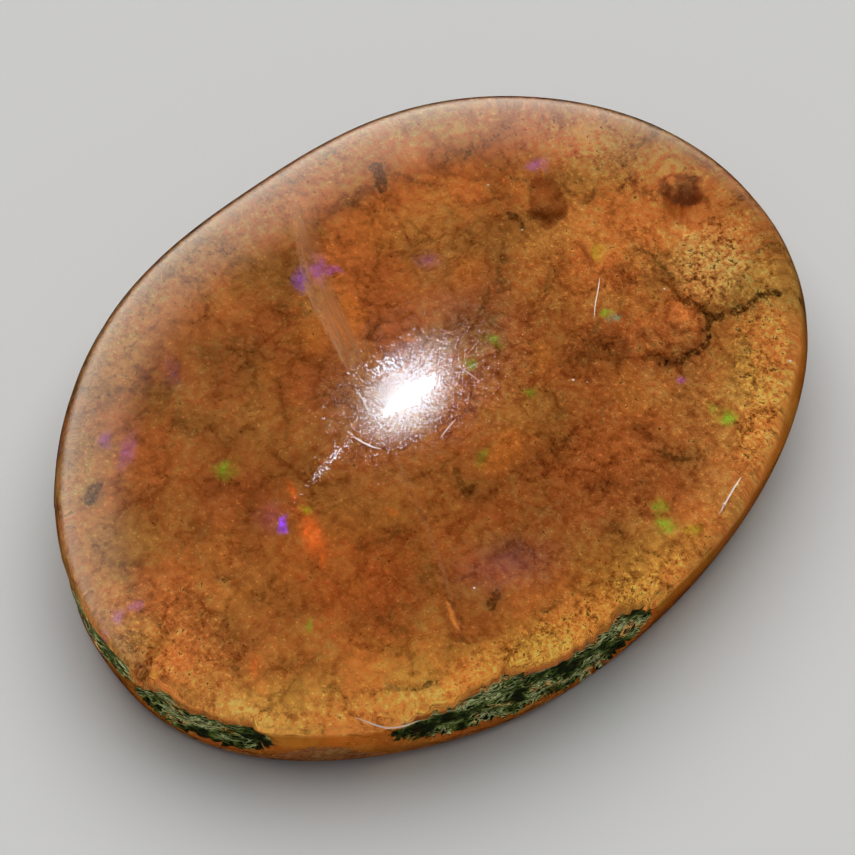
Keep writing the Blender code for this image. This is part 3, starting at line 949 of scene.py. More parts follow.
def addVectorMath(tree, operation, *values, output="Vector"):
    node = addNode(tree, "ShaderNodeVectorMath", operation=operation)
    for socket, value in zip(node.inputs, values):
        fillSocket(tree, socket, value)
    return node.outputs[output]


def multiplied(tree, first, *others):
    for other in others:
        first = addMath(tree, "MULTIPLY", first, other)
    return first


def added(tree, first, *others):
    for other in others:
        first = addMath(tree, "ADD", first, other)
    return first


def addRange(tree, value, fromMin, fromMax, toMin=0.0, toMax=1.0, kind="LINEAR"):
    node = addNode(tree, "ShaderNodeMapRange", {
        "Value": value, "From Min": fromMin, "From Max": fromMax, "To Min": toMin, "To Max": toMax},
        interpolation_type=kind)
    return node.outputs["Result"]


def addRamp(tree, value, stops):
    node = addNode(tree, "ShaderNodeValToRGB", {"Fac": value})
    points = node.color_ramp.elements
    while len(points) < len(stops):
        points.new(0.5)
    for point, (place, color) in zip(points, stops):
        point.position = place
        point.color = (*color, 1)
    return node.outputs["Color"]


def mixColors(tree, share, first, second, blend="MIX"):
    node = addNode(tree, "ShaderNodeMix", data_type="RGBA", blend_type=blend)
    for index, value in {0: share, 6: first, 7: second}.items():
        fillSocket(tree, node.inputs[index], value)
    return node.outputs[2]


def tinted(tree, color, tint, share=1.0):
    return mixColors(tree, share, color, tint, "MULTIPLY")


def addNoise(tree, place, size, detail=2.0, roughness=0.5, distortion=0.0, output="Fac", flat=True):
    # a noise whose largest lumps are about this size, in the units of the place
    node = addNode(tree, "ShaderNodeTexNoise", {
        "Vector": place, "Scale": 1 / size, "Detail": detail, "Roughness": roughness,
        "Distortion": distortion}, noise_dimensions="2D" if flat else "3D")
    return node.outputs[output]


def addMask(tree, name, output="Fac"):
    return addNode(tree, "ShaderNodeAttribute", attribute_name=name).outputs[output]


def addCells(tree, place, size, feature, output):
    # a pattern of cells of about this size
    node = addNode(tree, "ShaderNodeTexVoronoi", {"Vector": place, "Scale": 1 / size},
                   voronoi_dimensions="2D", feature=feature)
    return node.outputs[output]


def pushPlace(tree, place, size, distance):
    # a place that wanders, so that a pattern read there is bent
    way = addNoise(tree, place, size, output="Color")
    centred = addVectorMath(tree, "SUBTRACT", way, (0.5, 0.5, 0.5))
    return addVectorMath(tree, "MULTIPLY_ADD", centred, (distance, distance, 0), place)


def clearOpal():
    material, tree, shader = newMaterial("clearOpal")
    place = addNode(tree, "ShaderNodeTexCoord").outputs["Object"]
    scratches = addNode(tree, "ShaderNodeBump", {
        "Strength": 1.0, "Distance": opalSettings["scratchDepth"],
        "Height": addNoise(tree, place, opalSettings["scratchSize"], 2.0, 0.6, flat=False)})
    # painted shade: the band darkens the clear body near its widest line
    edge = addMask(tree, "paintedShadeBand")
    fillSockets(tree, shader, {
        "Base Color": mixColors(tree, edge, (1, 1, 1), opalSettings["edgeColor"]),
        "Roughness": addMath(tree, "MULTIPLY", edge, opalSettings["edgeRoughness"]),
        "IOR": opalSettings["ior"],
        "Transmission Weight": 1.0,
        "Coat Weight": opalSettings["coatWeight"],
        "Coat Roughness": opalSettings["coatRoughness"],
        "Coat Normal": scratches.outputs["Normal"],
    })
    body = addNode(tree, "ShaderNodeVolumeAbsorption", {
        "Color": opalSettings["absorbColor"], "Density": opalSettings["absorbDensity"]})
    tree.links.new(body.outputs["Volume"], tree.nodes["Material Output"].inputs["Volume"])
    return material


# The skin: its colours, then its pattern, then how that is read. A noise has its size in mm, its detail and
# its roughness. A range has the two values between which a noise is read, and what it gives at each.
skinLook = {
    "colors": ((0.12, (0.26, 0.096, 0.028)), (0.5, (0.72, 0.37, 0.15)), (0.9, (0.99, 0.72, 0.36))),
    "toneShare": 0.5,  # makes a plain tone the middle colour
    "glow": (1.0, 0.46, 0.13),  # of the brighter patches
    "ground": (0.05, 0.03, 0.02),  # under the flecks
    # what the redder and greener drifts, the creases' painted shade, the grit, the pits, the bright grains,
    # partly painted glints, and the veins multiply the colour by
    "red": (1.05, 0.86, 0.78),
    "olive": (0.96, 1.09, 0.95),
    "crease": (0.50, 0.40, 0.33),
    "grit": (0.42, 0.32, 0.26),
    "pit": (0.26, 0.18, 0.14),
    "grain": (1.6, 2.0, 2.1),
    "vein": (0.11, 0.08, 0.065),
    "cloudNoise": (1.0, 3.0, 0.6),
    "driftNoise": (1.4, 2.0, 0.5),
    "crumbNoise": (0.15, 3.0, 0.62),
    "gritNoise": (0.07, 3.0, 0.75),
    "pitNoise": (0.15, 3.0, 0.78),
    "lumpSize": 0.76,
    "clodSize": 0.28,
    "push": (0.46, 0.33),  # size of the waves that bend the pattern, and how far
    "finePush": (0.13, 0.115),
    # painted shade: lumps and clods are lighter in their middles and darker towards their edges
    "lumpShade": (0.0, 0.35, 0.89, 1.04),
    "clodShade": (0.0, 0.35, 0.88, 1.06),
    "cloudShade": (0.3, 0.7, 0.82, 1.17),
    "ownShade": (0.0, 1.0, 0.95, 1.05),  # each lump has its own
    "crumbShade": (0.25, 0.75, 0.62, 1.38),
    "gritShade": (0.25, 0.75, 0.88, 1.12),
    "porousShade": (0.0, 1.0, 0.40, 1.6),  # how strong the last two are, from smooth skin to porous skin
    "glowShade": (0.6, 1.4, 0.8, 1.1),
    "glowShare": 0.6,
    "driftCrumbs": 0.7,
    "driftOwn": (0.0, 1.0, -0.03, 0.03),
    "drift": (0.34, 0.66),
    # painted shade in the creases between the lumps and the clods
    "creaseCrumbs": 0.4,
    "lumpCrease": (0.0, 0.09, 1.0, 0.0),
    "clodCrease": (0.0, 0.15, 0.8, 0.0),
    "creaseOwn": (0.3, 0.7, 0.1, 1.0),
    "creaseCloud": (0.40, 0.60, 1.0, 0.1),
    "creaseShare": 0.42,
    # sills of the noise, from smooth skin to porous skin, past which there is grit, a bright grain or a pit
    "gritSill": (0.0, 1.0, 0.69, 0.60),
    "grainSill": (0.0, 1.0, 0.375, 0.48),
    "pitSill": (0.0, 1.0, 0.72, 0.60),
    "creaseGrit": 0.09,  # how much lower the sill of the grit is in a crease
    "grainRise": (0.0, 0.08, 0.0, 0.9),
    "gritRise": (0.0, 0.06),
    "pitRise": (0.0, 0.05),
    "veinCrumbs": 3.0,  # how the edges of veins crumble
    "veinGrit": 1.5,
    "veinBody": (-0.8, 1.6),
    "veinShade": (0.35, 0.62, 0.6, 1.0),
    "veinHalo": (-7.0, 1.0, 0.0, 0.3),
    "fleckCrumbs": 1.6,
    "fleckBody": (-0.45, 1.0),
    "fleckPower": 1.4,
    "fleckGrit": (0.3, 0.7, 0.5, 1.5),
    "groundShare": 0.6,
    "bumpDepth": 0.08 * mm,
    "roughness": 0.85,
    "shine": 0.1,
}


def patternPlace(tree):
    # the place in the skin's pattern, in mm
    share = addMath(tree, "MINIMUM", addMask(tree, "foldShare"), 1.0)
    root = addMath(tree, "SUBTRACT", 1.0, addMath(tree, "SQRT", addMath(tree, "SUBTRACT", 1.0, share)))
    bend = skinSettings["foldBend"]
    curve = multiplied(tree, root, addMath(tree, "SUBTRACT", bend, multiplied(tree, root, bend - 1)))
    way, start = addMask(tree, "patternWay", "Vector"), addMask(tree, "patternStart", "Vector")
    return addVectorMath(tree, "MULTIPLY_ADD", way, curve, start)


def readPattern(tree):
    # the noises, cells and masks from which the skin is coloured
    look, place = skinLook, patternPlace(tree)
    bent = pushPlace(tree, place, *look["push"])
    rough = pushPlace(tree, bent, *look["finePush"])
    lump = addCells(tree, rough, look["lumpSize"], "F1", "Color")
    pattern = {
        "cloud": addNoise(tree, bent, *look["cloudNoise"]),
        "drift": addNoise(tree, bent, *look["driftNoise"]),
        "crumb": addNoise(tree, place, *look["crumbNoise"]),
        "grit": addNoise(tree, place, *look["gritNoise"]),
        "pit": addNoise(tree, place, *look["pitNoise"]),
        "lumpEdge": addCells(tree, rough, look["lumpSize"], "DISTANCE_TO_EDGE", "Distance"),
        "clodEdge": addCells(tree, rough, look["clodSize"], "DISTANCE_TO_EDGE", "Distance"),
        "own": addNode(tree, "ShaderNodeSeparateColor", {"Color": lump}).outputs,
        "pores": addMask(tree, "pores"),
        "calm": addMask(tree, "calm"),
    }
    pattern["crumbAway"] = addMath(tree, "SUBTRACT", pattern["crumb"], 0.5)
    pattern["gritAway"] = addMath(tree, "SUBTRACT", pattern["grit"], 0.5)
    return pattern


def colorClods(tree, pattern):
    # clods with painted shade, darker where they meet, each with a tone of its own, in broad drifts of colour
    look = skinLook
    shade = multiplied(
        tree, addRange(tree, pattern["lumpEdge"], *look["lumpShade"]),
        addRange(tree, pattern["clodEdge"], *look["clodShade"]),
        addRange(tree, pattern["cloud"], *look["cloudShade"]),
        addRange(tree, pattern["own"]["Red"], *look["ownShade"]))
    crumble = multiplied(tree, addRange(tree, pattern["crumb"], *look["crumbShade"]),
                         addRange(tree, pattern["grit"], *look["gritShade"]))
    strength = multiplied(tree, addRange(tree, pattern["pores"], *look["porousShade"]), pattern["calm"])
    tone = multiplied(tree, shade, addMath(tree, "POWER", crumble, strength), look["toneShare"])
    color = addRamp(tree, tone, look["colors"])
    drift = added(tree, pattern["drift"], multiplied(tree, pattern["crumbAway"], look["driftCrumbs"]),
                  addRange(tree, pattern["own"]["Green"], *look["driftOwn"]))
    drift = mixColors(tree, addRange(tree, drift, *look["drift"]), look["red"], look["olive"])
    color = tinted(tree, tinted(tree, color, drift), addMask(tree, "tone", "Color"))
    glow = tinted(tree, look["glow"], addRange(tree, crumble, *look["glowShade"]))
    return mixColors(tree, multiplied(tree, addMask(tree, "glow"), look["glowShare"]), color, glow)


def drawCreases(tree, pattern):
    # painted shade in crumbling creases between the clods, in patches
    look = skinLook
    crumbs = multiplied(tree, pattern["crumbAway"], look["creaseCrumbs"])
    lumps = addRange(tree, added(tree, pattern["lumpEdge"], crumbs), *look["lumpCrease"], "SMOOTHSTEP")
    clods = addRange(tree, added(tree, pattern["clodEdge"], crumbs), *look["clodCrease"], "SMOOTHSTEP")
    clods = multiplied(tree, clods, addRange(tree, pattern["own"]["Blue"], *look["creaseOwn"]))
    patches = addRange(tree, pattern["cloud"], *look["creaseCloud"])
    return multiplied(tree, patches, addMath(tree, "MAXIMUM", lumps, clods))


def addGrains(tree, pattern, color, crease):
    # bright grains, partly painted glints, dark grit, thickest in the creases, and pits where the skin is
    # porous
    look = skinLook
    grainSill = addRange(tree, pattern["pores"], *look["grainSill"])
    pitSill = addRange(tree, pattern["pores"], *look["pitSill"])
    gritSill = addRange(tree, pattern["pores"], *look["gritSill"])
    gritSill = addMath(tree, "SUBTRACT", gritSill, multiplied(tree, crease, look["creaseGrit"]))
    grain = addRange(tree, addMath(tree, "SUBTRACT", grainSill, pattern["grit"]), *look["grainRise"])
    grit = addRange(tree, addMath(tree, "SUBTRACT", pattern["grit"], gritSill), *look["gritRise"])
    pit = addRange(tree, addMath(tree, "SUBTRACT", pattern["pit"], pitSill), *look["pitRise"])
    for share, name in ((grain, "grain"), (grit, "grit"), (pit, "pit")):
        color = tinted(tree, color, look[name], multiplied(tree, share, pattern["calm"]))
    return color


def addVeins(tree, pattern, color):
    # drawn veins, their edges crumbled by noise, with a faint halo
    look = skinLook
    crumbled = added(tree, addMask(tree, "vein"), multiplied(tree, pattern["crumbAway"], look["veinCrumbs"]),
                     multiplied(tree, pattern["gritAway"], look["veinGrit"]))
    body = multiplied(tree, addRange(tree, crumbled, *look["veinBody"], kind="SMOOTHSTEP"),
                      addRange(tree, pattern["grit"], *look["veinShade"]))
    halo = addRange(tree, crumbled, *look["veinHalo"], "SMOOTHSTEP")
    marked = multiplied(tree, addMath(tree, "MAXIMUM", body, halo), addMask(tree, "veinDark"))
    return tinted(tree, color, look["vein"], marked)


def addFlecks(tree, pattern, color):
    # flecks of play of colour, broken up by noise, over a darker ground: that ground, and their light
    look = skinLook
    fleck = added(tree, addMask(tree, "fleck"), multiplied(tree, pattern["crumbAway"], look["fleckCrumbs"]))
    fleck = addMath(tree, "POWER", addRange(tree, fleck, *look["fleckBody"]), look["fleckPower"])
    ground = multiplied(tree, fleck, addMask(tree, "fleckLight", "Alpha"), look["groundShare"])
    broken = multiplied(tree, fleck, addRange(tree, pattern["grit"], *look["fleckGrit"]))
    light = tinted(tree, addMask(tree, "fleckLight", "Color"), broken)
    return mixColors(tree, ground, color, look["ground"]), light


def skinMaterial():
    material, tree, shader = newMaterial("opalSkin")
    look, pattern = skinLook, readPattern(tree)
    color, crease = colorClods(tree, pattern), drawCreases(tree, pattern)
    # painted shade in the creases
    color = tinted(tree, color, look["crease"], multiplied(tree, crease, look["creaseShare"]))
    color = addVeins(tree, pattern, addGrains(tree, pattern, color, crease))
    color, light = addFlecks(tree, pattern, color)
    bump = addNode(tree, "ShaderNodeBump", {
        "Strength": 1.0, "Distance": look["bumpDepth"], "Height": pattern["crumb"]})
    fillSockets(tree, shader, {
        "Base Color": color, "Roughness": look["roughness"], "Specular IOR Level": look["shine"],
        "Emission Color": light, "Emission Strength": 1.0, "Normal": bump.outputs["Normal"]})
    return material


# The crust: a pattern of slanting ridges on the flank unrolled, in mm
crustLook = {
    "push": (0.5, 0.22),
    "slant": -14,  # degrees
    "squeeze": (3.2, 10.5, 1.0),
    "streakNoise": (0.75, 3.0, 0.6, 0.4),
    "sharpness": 7.0,
    "paleNoise": (0.9, 3.0, 0.6),
    "pale": (0.36, 0.62, 0.28, 1.05),
    "colors": ((0.18, (0.010, 0.016, 0.002)), (0.36, (0.07, 0.11, 0.012)),
               (0.54, (0.24, 0.34, 0.055)), (0.74, (0.95, 1.0, 0.45))),
    "warmSize": 0.55,
    "warm": (0.56, 0.66),
    "warmTint": (1.7, 0.85, 0.6),
    "bumpDepth": 0.06 * mm,
    "bumpShare": 0.8,
    "roughness": 0.8,
    "shine": 0.15,
}


def crustMaterial():
    material, tree, shader = newMaterial("greenCrust")
    look = crustLook
    wrap = pushPlace(tree, addMask(tree, "wrap", "Vector"), *look["push"])
    slanted = addNode(tree, "ShaderNodeMapping", {
        "Vector": wrap, "Rotation": (0, 0, math.radians(look["slant"])), "Scale": look["squeeze"]})
    streaks = addNoise(tree, slanted.outputs["Vector"], *look["streakNoise"])
    streaks = multiplied(tree, addMath(tree, "SUBTRACT", streaks, 0.5), look["sharpness"])
    ridge = addMath(tree, "SUBTRACT", 1.0, addMath(tree, "ABSOLUTE", streaks))
    pale = addRange(tree, addNoise(tree, wrap, *look["paleNoise"]), *look["pale"])
    level = multiplied(tree, addMath(tree, "MAXIMUM", ridge, 0.0), pale)
    warm = addRange(tree, addNoise(tree, wrap, look["warmSize"]), *look["warm"])
    color = tinted(tree, addRamp(tree, level, look["colors"]), look["warmTint"], warm)
    bump = addNode(tree, "ShaderNodeBump", {
        "Strength": look["bumpShare"], "Distance": look["bumpDepth"], "Height": level})
    fillSockets(tree, shader, {
        "Base Color": color, "Roughness": look["roughness"], "Specular IOR Level": look["shine"],
        "Normal": bump.outputs["Normal"]})
    return material


def arrange(tree):
    # sets the nodes in columns, each to the left of what it feeds
    columns = {node: 0 for node in tree.nodes}
    for _ in tree.nodes:
        for link in tree.links:
            columns[link.from_node] = max(columns[link.from_node], columns[link.to_node] + 1)
    filled = {}
    for node, column in columns.items():
        filled[column] = filled.get(column, 0) + 1
        node.location = (-220 * column, -260 * filled[column])


for material in (clearOpal(), skinMaterial(), crustMaterial()):
    arrange(material.node_tree)
    stone.data.materials.append(material)
print("materials made")


def skinTop(x, y):
    # how high the skin reaches up the flank at a place, in mm
    turn = (math.degrees(math.atan2(y, x)) - skinEdging["angle"]) / skinEdging["reach"]
    stray = skinEdging["stray"] * noise.noise(Vector((x, y, 0)) / skinEdging["size"])
    stray += 0.5 * skinEdging["stray"] * noise.noise(Vector((x, y, 5)) / (0.2 * skinEdging["size"]))
    return skinEdging["height"] + stray + skinEdging["rise"] * math.exp(-turn**2)


def placeInStone(piece):
    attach(piece, "root")
    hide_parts("opal_cabochon")


def sortFaces():
    # the material of each face: skin below, crust where its mask says so, clear opal elsewhere
    mesh = stone.data
    slots = np.zeros(len(mesh.polygons), dtype=np.int32)
    for face in mesh.polygons:
        corners = list(face.vertices)
        x, y, z = bodyPlaces[corners].mean(axis=0)
        if max(corners) < len(skinX):
            slots[face.index] = 1
        elif crust[corners].mean() > crustSettings["least"]:
            slots[face.index] = 2
        elif z < max(skinEdging["least"], skinTop(x, y)):
            slots[face.index] = 1
    mesh.polygons.foreach_set("material_index", slots)
    mesh.polygons.foreach_set("use_smooth", np.ones(len(mesh.polygons), dtype=bool))
    mesh.update()


sortFaces()
placeInStone(stone)
print("stone finished")

# A pale fracture that comes up from the skin to the dome: its two long sides, drawn on the photo
fractureSides = {
    "dome": ((287, 168), (293, 230), (303, 285), (322, 325), (344, 366), (366, 410), (390, 450), (409, 490),
             (426, 530), (441, 570), (461, 640)),
    "skin": ((309, 190), (323, 255), (338, 298), (358, 345), (370, 388), (382, 422), (396, 453), (414, 491),
             (431, 531), (446, 571), (464, 640)),
}
fractureSettings = {
    "steps": 60,
    "rows": 4,
    "sunk": 0.03,  # mm below the dome
    "foot": 0.15,  # mm above the back
    "color": (0.95, 0.72, 0.55),
    # painted light: the sheet glows in place of the light that it scatters
    "paintedScatterGlow": (0.17, 0.09, 0.045),  # the light that it scatters
    "cloudSize": 1.6 * mm,
    "alpha": (0.12, 0.42),
    # how much of it shows on its way from the upper end to the lower one
    "fade": ((0, 0.4), (0.1, 1), (0.42, 1), (0.58, 0.4), (0.85, 0.4), (1, 0.2)),
}

# Fibres and scratches on the dome, and specks of dust: half widths in pixels of the photo
domeLines = {
    "fibre": {"half": 0.45, "line": ((600, 277), (598, 290), (595, 305), (594, 318))},
    "thick fibre": {"half": 0.9, "line": ((741, 477), (733, 489), (725, 503), (719, 514))},
    # painted highlights: a white strip for the lamp's glint along a scratch, and two real scratches painted
    # white by that glint
    "painted glint along a scratch": {"half": 0.9, "line": ((352, 436), (362, 442), (372, 447), (381, 449))},
    "scratch": {"half": 0.5, "line": ((456, 419), (448, 428), (440, 438))},
    "fine scratch": {"half": 0.4, "line": ((455, 365), (466, 371), (478, 380))},
    "trace of the fracture": {"half": 0.6, "line": ((355, 388), (362, 398), (367, 408), (372, 418))},
    "low wave": {"half": 0.8, "line": (
        (355, 717), (370, 723), (385, 728), (400, 727), (410, 724), (420, 720))},
}
domeSpecks = {
    "great speck": {"at": (573, 380), "half": 1.3},
    "knot of the thick fibre": {"at": (724, 504), "half": 1.4},
    "beside it": {"at": (587, 382), "half": 0.8},
    "low speck": {"at": (474, 588), "half": 1.2},
    "right speck": {"at": (664, 289), "half": 1.1},
    "upper speck": {"at": (488, 185), "half": 1.1},
    "second upper speck": {"at": (522, 230), "half": 1.0},
    "edge speck": {"at": (790, 361), "half": 1.3},
}
domeMarkSettings = {
    "points": 9,
    "lift": 0.4,  # share of the half width that a mark stands above the dome
    "ends": 0.3,  # how slim its ends are
    "color": (0.92, 0.82, 0.74),
    "glow": (0, 0, 0),
    "roughness": 0.6,
}

# Painted highlights: pale glowing specks stand for the lamp's sparkle in the polish.
# The fine scratches of the polish sparkle round the mirrored lamp: middle, spread in pixels, turn in degrees
sparkleFields = {
    "round the lamp": {
        "at": (410, 393), "spread": (32, 21), "turn": -34, "count": 1250, "half": (0.18, 0.5)},
    "above the lamp": {
        "at": (388, 366), "spread": (13, 5), "turn": -8, "count": 110, "half": (0.25, 0.65)},
    "tail": {"at": (331, 460), "spread": (19, 2.2), "turn": -48, "count": 150, "half": (0.14, 0.45)},
}
sparkleSettings = {
    "seed": 4,
    "stretch": (2, 5),  # lengths, in half widths
    "color": (0.90, 0.94, 1.0),
    # painted light: the specks glow
    "glow": (0.62, 0.70, 0.80),
    "roughness": 0.6,
}
speckSettings = {"lift": 0.3, "ends": 0.35}  # shares of a speck's half width


def alongLine(line, count):
    # points at even steps along a line
    xs, ys = np.array(line, dtype=float).T
    passed = np.concatenate(([0], np.cumsum(np.hypot(np.diff(xs), np.diff(ys)))))
    steps = np.linspace(0, passed[-1], count)
    return np.interp(steps, passed, xs), np.interp(steps, passed, ys)


def addFracture():
    steps, rows = fractureSettings["steps"], fractureSettings["rows"]
    bpy.ops.object.select_all(action="DESELECT")
    bpy.ops.mesh.primitive_grid_add(x_subdivisions=steps, y_subdivisions=rows, size=2)
    sheet = bpy.context.object
    sheet.name = sheet.data.name = "fracture"
    places, normals, _, _ = surfaceAt(*alongLine(fractureSides["dome"], steps + 1))
    upper = places - normals * fractureSettings["sunk"] * mm
    x, y, _ = skinAt(*alongLine(fractureSides["skin"], steps + 1))
    lower = np.stack((x, y, np.full(len(x), fractureSettings["foot"])), axis=1) * mm
    down = np.linspace(0, 1, rows + 1)[:, None, None]
    sheet.data.vertices.foreach_set("co", (upper * (1 - down) + lower * down).ravel())
    sheet.data.update()
    fade = np.interp(np.linspace(0, 1, steps + 1), *zip(*fractureSettings["fade"]))
    mask = sheet.data.attributes.new("fade", "FLOAT", "POINT")
    mask.data.foreach_set("value", np.tile(fade, rows + 1))
    material, tree, shader = newMaterial("fractureVeil")
    place = addNode(tree, "ShaderNodeTexCoord").outputs["Object"]
    cloud = addNoise(tree, place, fractureSettings["cloudSize"], 4.0, 0.6, flat=False)
    alpha = addRange(tree, cloud, 0.3, 0.7, *fractureSettings["alpha"])
    alpha = multiplied(tree, alpha, addMask(tree, "fade"))
    fillSockets(tree, shader, {
        "Base Color": fractureSettings["color"], "Roughness": 0.8, "Alpha": alpha,
        "Emission Color": fractureSettings["paintedScatterGlow"], "Emission Strength": 1.0})
    arrange(tree)
    sheet.data.materials.append(material)
    placeInStone(sheet)


def addStroke(curve, places, radii):
    stroke = curve.splines.new("POLY")
    stroke.points.add(len(places) - 1)
    for point, place, radius in zip(stroke.points, places, radii):
        point.co = (*place, 1)
        point.radius = radius


def newStrokes(name):
    curve = bpy.data.curves.new(name, "CURVE")
    curve.dimensions = "3D"
    curve.bevel_depth = pixelSize
    curve.bevel_resolution = 1
    curve.use_fill_caps = True
    return curve


def addSpecks(curve, specks):
    # short thick strokes, each from a place, a turn, a length and a half width
    x, y, turn, length, half = np.array(specks).T
    steps = np.array((-0.5, 0, 0.5))[:, None] * length
    places, normals, _, _ = surfaceAt((x + steps * np.cos(turn)).ravel(), (y + steps * np.sin(turn)).ravel())
    lift = speckSettings["lift"] * np.tile(half, 3)[:, None] * pixelSize
    places = (places + normals * lift).reshape(3, -1, 3)
    for i, radius in enumerate(half):
        end = speckSettings["ends"] * radius
        addStroke(curve, places[:, i], (end, radius, end))


def finishStrokes(curve, look):
    made = bpy.data.objects.new(curve.name, curve)
    bpy.context.scene.collection.objects.link(made)
    bpy.ops.object.select_all(action="DESELECT")
    made.select_set(True)
    bpy.context.view_layer.objects.active = made
    bpy.ops.object.convert(target="MESH")
    made = bpy.context.object
    material, tree, shader = newMaterial(made.name)
    fillSockets(tree, shader, {
        "Base Color": look["color"], "Roughness": look["roughness"], "Emission Color": look["glow"],
        "Emission Strength": 1.0})
    made.data.materials.clear()
    made.data.materials.append(material)
    placeInStone(made)


def addDomeMarks():
    curve = newStrokes("domeMarks")
    count, end = domeMarkSettings["points"], domeMarkSettings["ends"]
    slimming = np.interp(np.arange(count), (0, 2, count - 3, count - 1), (end, 1, 1, end))
    for mark in domeLines.values():
        places, normals, _, _ = surfaceAt(*alongLine(mark["line"], count))
        lift = domeMarkSettings["lift"] * mark["half"] * pixelSize
        addStroke(curve, places + normals * lift, mark["half"] * slimming)
    addSpecks(curve, [(*speck["at"], 0, 2 * speck["half"], speck["half"]) for speck in domeSpecks.values()])
    finishStrokes(curve, domeMarkSettings)


def addSparkles():
    chance, specks = random.Random(sparkleSettings["seed"]), []
    for field in sparkleFields.values():
        turn = math.radians(field["turn"])
        for _ in range(field["count"]):
            along, across = (chance.gauss(0, spread) for spread in field["spread"])
            x = field["at"][0] + along * math.cos(turn) - across * math.sin(turn)
            y = field["at"][1] + along * math.sin(turn) + across * math.cos(turn)
            half = chance.uniform(*field["half"])
            way = chance.uniform(0, math.pi)
            specks.append((x, y, way, half * chance.uniform(*sparkleSettings["stretch"]), half))
    curve = newStrokes("paintedLampSparkles")
    addSpecks(curve, specks)
    finishStrokes(curve, sparkleSettings)


addFracture()
addDomeMarks()
addSparkles()
print("fracture and dome marks made")


# Floor, light and surroundings
floorSettings = {"radius": 0.9, "color": (0.50, 0.495, 0.48), "roughness": 0.9, "shine": 0.2}


def makeFloor():
    bpy.ops.object.select_all(action="DESELECT")
    bpy.ops.mesh.primitive_circle_add(vertices=96, radius=floorSettings["radius"], fill_type="NGON")
    floor = bpy.context.object
    floor.name = "floor"
    material, tree, shader = newMaterial("paleFloor")
    fillSockets(tree, shader, {
        "Base Color": floorSettings["color"], "Roughness": floorSettings["roughness"],
        "Specular IOR Level": floorSettings["shine"]})
    floor.data.materials.append(material)
    floor.visible_glossy = False


# The broad soft light from above, which the stone doesn't mirror
skyBox = {"from": (0.10, 0.14, 0.52), "size": (0.7, 0.7), "energy": 4.05}

# The bright lamp mirrored near the middle of the dome. Its pattern is laid out in pixels of the photo, along
# the streak that it makes and across it.
keySettings = {
    "pixel": (405, 396),
    "distance": 0.35,
    "size": (0.19, 0.19),
    "energy": 6.5,
    "along": (-1370, -666, 0),  # pixels to a metre of the lamp
    "across": (-593, 471, 0),
    "core": (32, 8.5),
    "fringe": (76, 54),
    "fringeShare": 0.46,
    "fringePower": 1.5,
    "fringeColor": (0.78, 0.90, 1.0),
    "taper": (-45.0, 30.0, 0.4, 1.25),  # width of the comet from its tail to its head
    "shift": 3.0,
    "raggedSize": 7.0,
    "ragged": 1.8,
    "sparkleSize": 3.0,
    "sparkle": (0.40, 0.60, 0.4, 1.6),
}
surroundings = {
    "sky": (0.92, 0.95, 1.0),
    "skyStrength": 0.28,
    "glow": (1.0, 0.88, 0.72),  # the pale light that the rim mirrors from behind on the left
    "glowStrength": 1.5,
    "glowMiddle": -8.0,  # degrees from +Y towards +X
    "glowReach": (37.2, 80.6),  # degrees from its middle where it begins to fade, and where it ends
    "glowBottom": (-48.0, -34.0),  # degrees above the floor where it begins, and where it is full
    "glowTop": 25.0,
}


def addLamp(name, place, way, size, energy):
    light = bpy.data.lights.new(name, "AREA")
    light.shape = "ELLIPSE"
    light.size, light.size_y = size
    light.energy = energy
    held = bpy.data.objects.new(name, light)
    bpy.context.scene.collection.objects.link(held)
    held.location = place
    held.rotation_euler = Vector(way).to_track_quat("Z", "Y").to_euler()
    return held


def addReach(tree, place, half):
    # 0 in the middle and 1 on an ellipse with these half sizes
    shrunk = addVectorMath(tree, "MULTIPLY", place, (1 / half[0], 1 / half[1], 0))
    return addVectorMath(tree, "LENGTH", shrunk, output="Value")


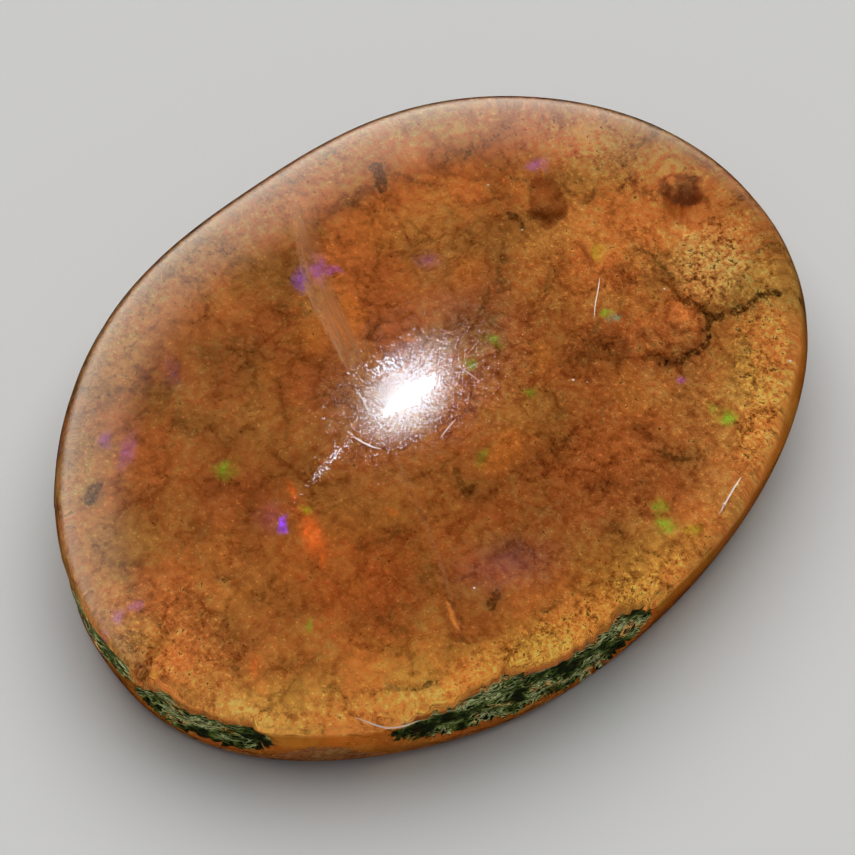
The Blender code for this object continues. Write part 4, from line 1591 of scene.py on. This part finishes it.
def addKeyLamp():
    # shines back to the camera at one pixel of the dome, brightest in its middle, and only there
    look = keySettings
    places, normals, ways, _ = surfaceAt([look["pixel"][0]], [look["pixel"][1]])
    mirrored = ways[0] - 2 * ways[0].dot(normals[0]) * normals[0]
    place = places[0] + mirrored * look["distance"]
    lamp = addLamp("keyLamp", place, mirrored, look["size"], look["energy"])
    lamp.visible_diffuse = False
    lamp.visible_transmission = False
    lamp.data.use_nodes = True
    tree = lamp.data.node_tree
    inside = addNode(tree, "ShaderNodeNewGeometry").outputs["Parametric"]
    place = addNode(tree, "ShaderNodeMapping", {
        "Vector": inside, "Location": [-size / 2 for size in (*look["size"], 0)],
        "Scale": (*look["size"], 0)}).outputs["Vector"]
    along = addVectorMath(tree, "DOT_PRODUCT", place, look["along"], output="Value")
    across = addVectorMath(tree, "DOT_PRODUCT", place, look["across"], output="Value")
    spot = addNode(tree, "ShaderNodeCombineXYZ", {"X": along, "Y": across}).outputs["Vector"]

    # a comet: its head is wider than its tail, and its edge ragged
    widened = addMath(tree, "DIVIDE", addMath(tree, "SUBTRACT", across, look["shift"]),
                      addRange(tree, along, *look["taper"]))
    comet = addNode(tree, "ShaderNodeCombineXYZ", {"X": along, "Y": widened}).outputs["Vector"]
    ragged = addMath(tree, "SUBTRACT", addNoise(tree, spot, look["raggedSize"], 5.0, 0.8), 0.5)
    core = added(tree, addReach(tree, comet, look["core"]), multiplied(tree, ragged, look["ragged"]))
    core = addRange(tree, core, 0.6, 1.25, 1.0, 0.0, "SMOOTHSTEP")

    # a glow of sparkles, weaker outwards
    sparkle = addRange(tree, addNoise(tree, spot, look["sparkleSize"], 2.0, 0.7), *look["sparkle"])
    fringe = addRange(tree, addReach(tree, spot, look["fringe"]), 0.0, 1.0, 1.0, 0.0)
    fringe = addMath(tree, "POWER", fringe, look["fringePower"])
    fringe = multiplied(tree, fringe, look["fringeShare"], sparkle)
    color = mixColors(tree, core, look["fringeColor"], (1, 1, 1))
    fillSockets(tree, tree.nodes["Emission"], {"Color": color, "Strength": added(tree, core, fringe)})
    arrange(tree)


def addWorld():
    world = bpy.data.worlds.new("studio")
    bpy.context.scene.world = world
    world.use_nodes = True
    tree = world.node_tree
    way = addNode(tree, "ShaderNodeTexCoord").outputs["Generated"]
    parts = addNode(tree, "ShaderNodeSeparateXYZ", {"Vector": way})
    azimuth = addMath(tree, "DEGREES", addMath(tree, "ARCTAN2", parts.outputs["X"], parts.outputs["Y"]))
    rise = addMath(tree, "DEGREES", addMath(tree, "ARCSINE", parts.outputs["Z"]))
    turn = addMath(tree, "ABSOLUTE", addMath(tree, "SUBTRACT", azimuth, surroundings["glowMiddle"]))
    sides = addRange(tree, turn, *surroundings["glowReach"], 1.0, 0.0, "SMOOTHSTEP")
    top = addRange(tree, rise, 0.0, surroundings["glowTop"], 1.0, 0.0, "SMOOTHSTEP")
    bottom = addRange(tree, rise, *surroundings["glowBottom"], kind="SMOOTHSTEP")
    glow = multiplied(tree, sides, top, bottom, surroundings["glowStrength"])
    mirrored = addNode(tree, "ShaderNodeLightPath").outputs["Is Glossy Ray"]
    strength = addNode(tree, "ShaderNodeMix", data_type="FLOAT")
    for index, value in {0: mirrored, 2: surroundings["skyStrength"], 3: glow}.items():
        fillSocket(tree, strength.inputs[index], value)
    color = mixColors(tree, mirrored, surroundings["sky"], surroundings["glow"])
    fillSockets(tree, tree.nodes["Background"], {"Color": color, "Strength": strength.outputs[0]})
    arrange(tree)


makeFloor()
addLamp("skyBox", skyBox["from"], skyBox["from"], skyBox["size"], skyBox["energy"]).visible_glossy = False
addKeyLamp()
addWorld()
bpy.context.scene.view_settings.view_transform = "Standard"
print("light set")
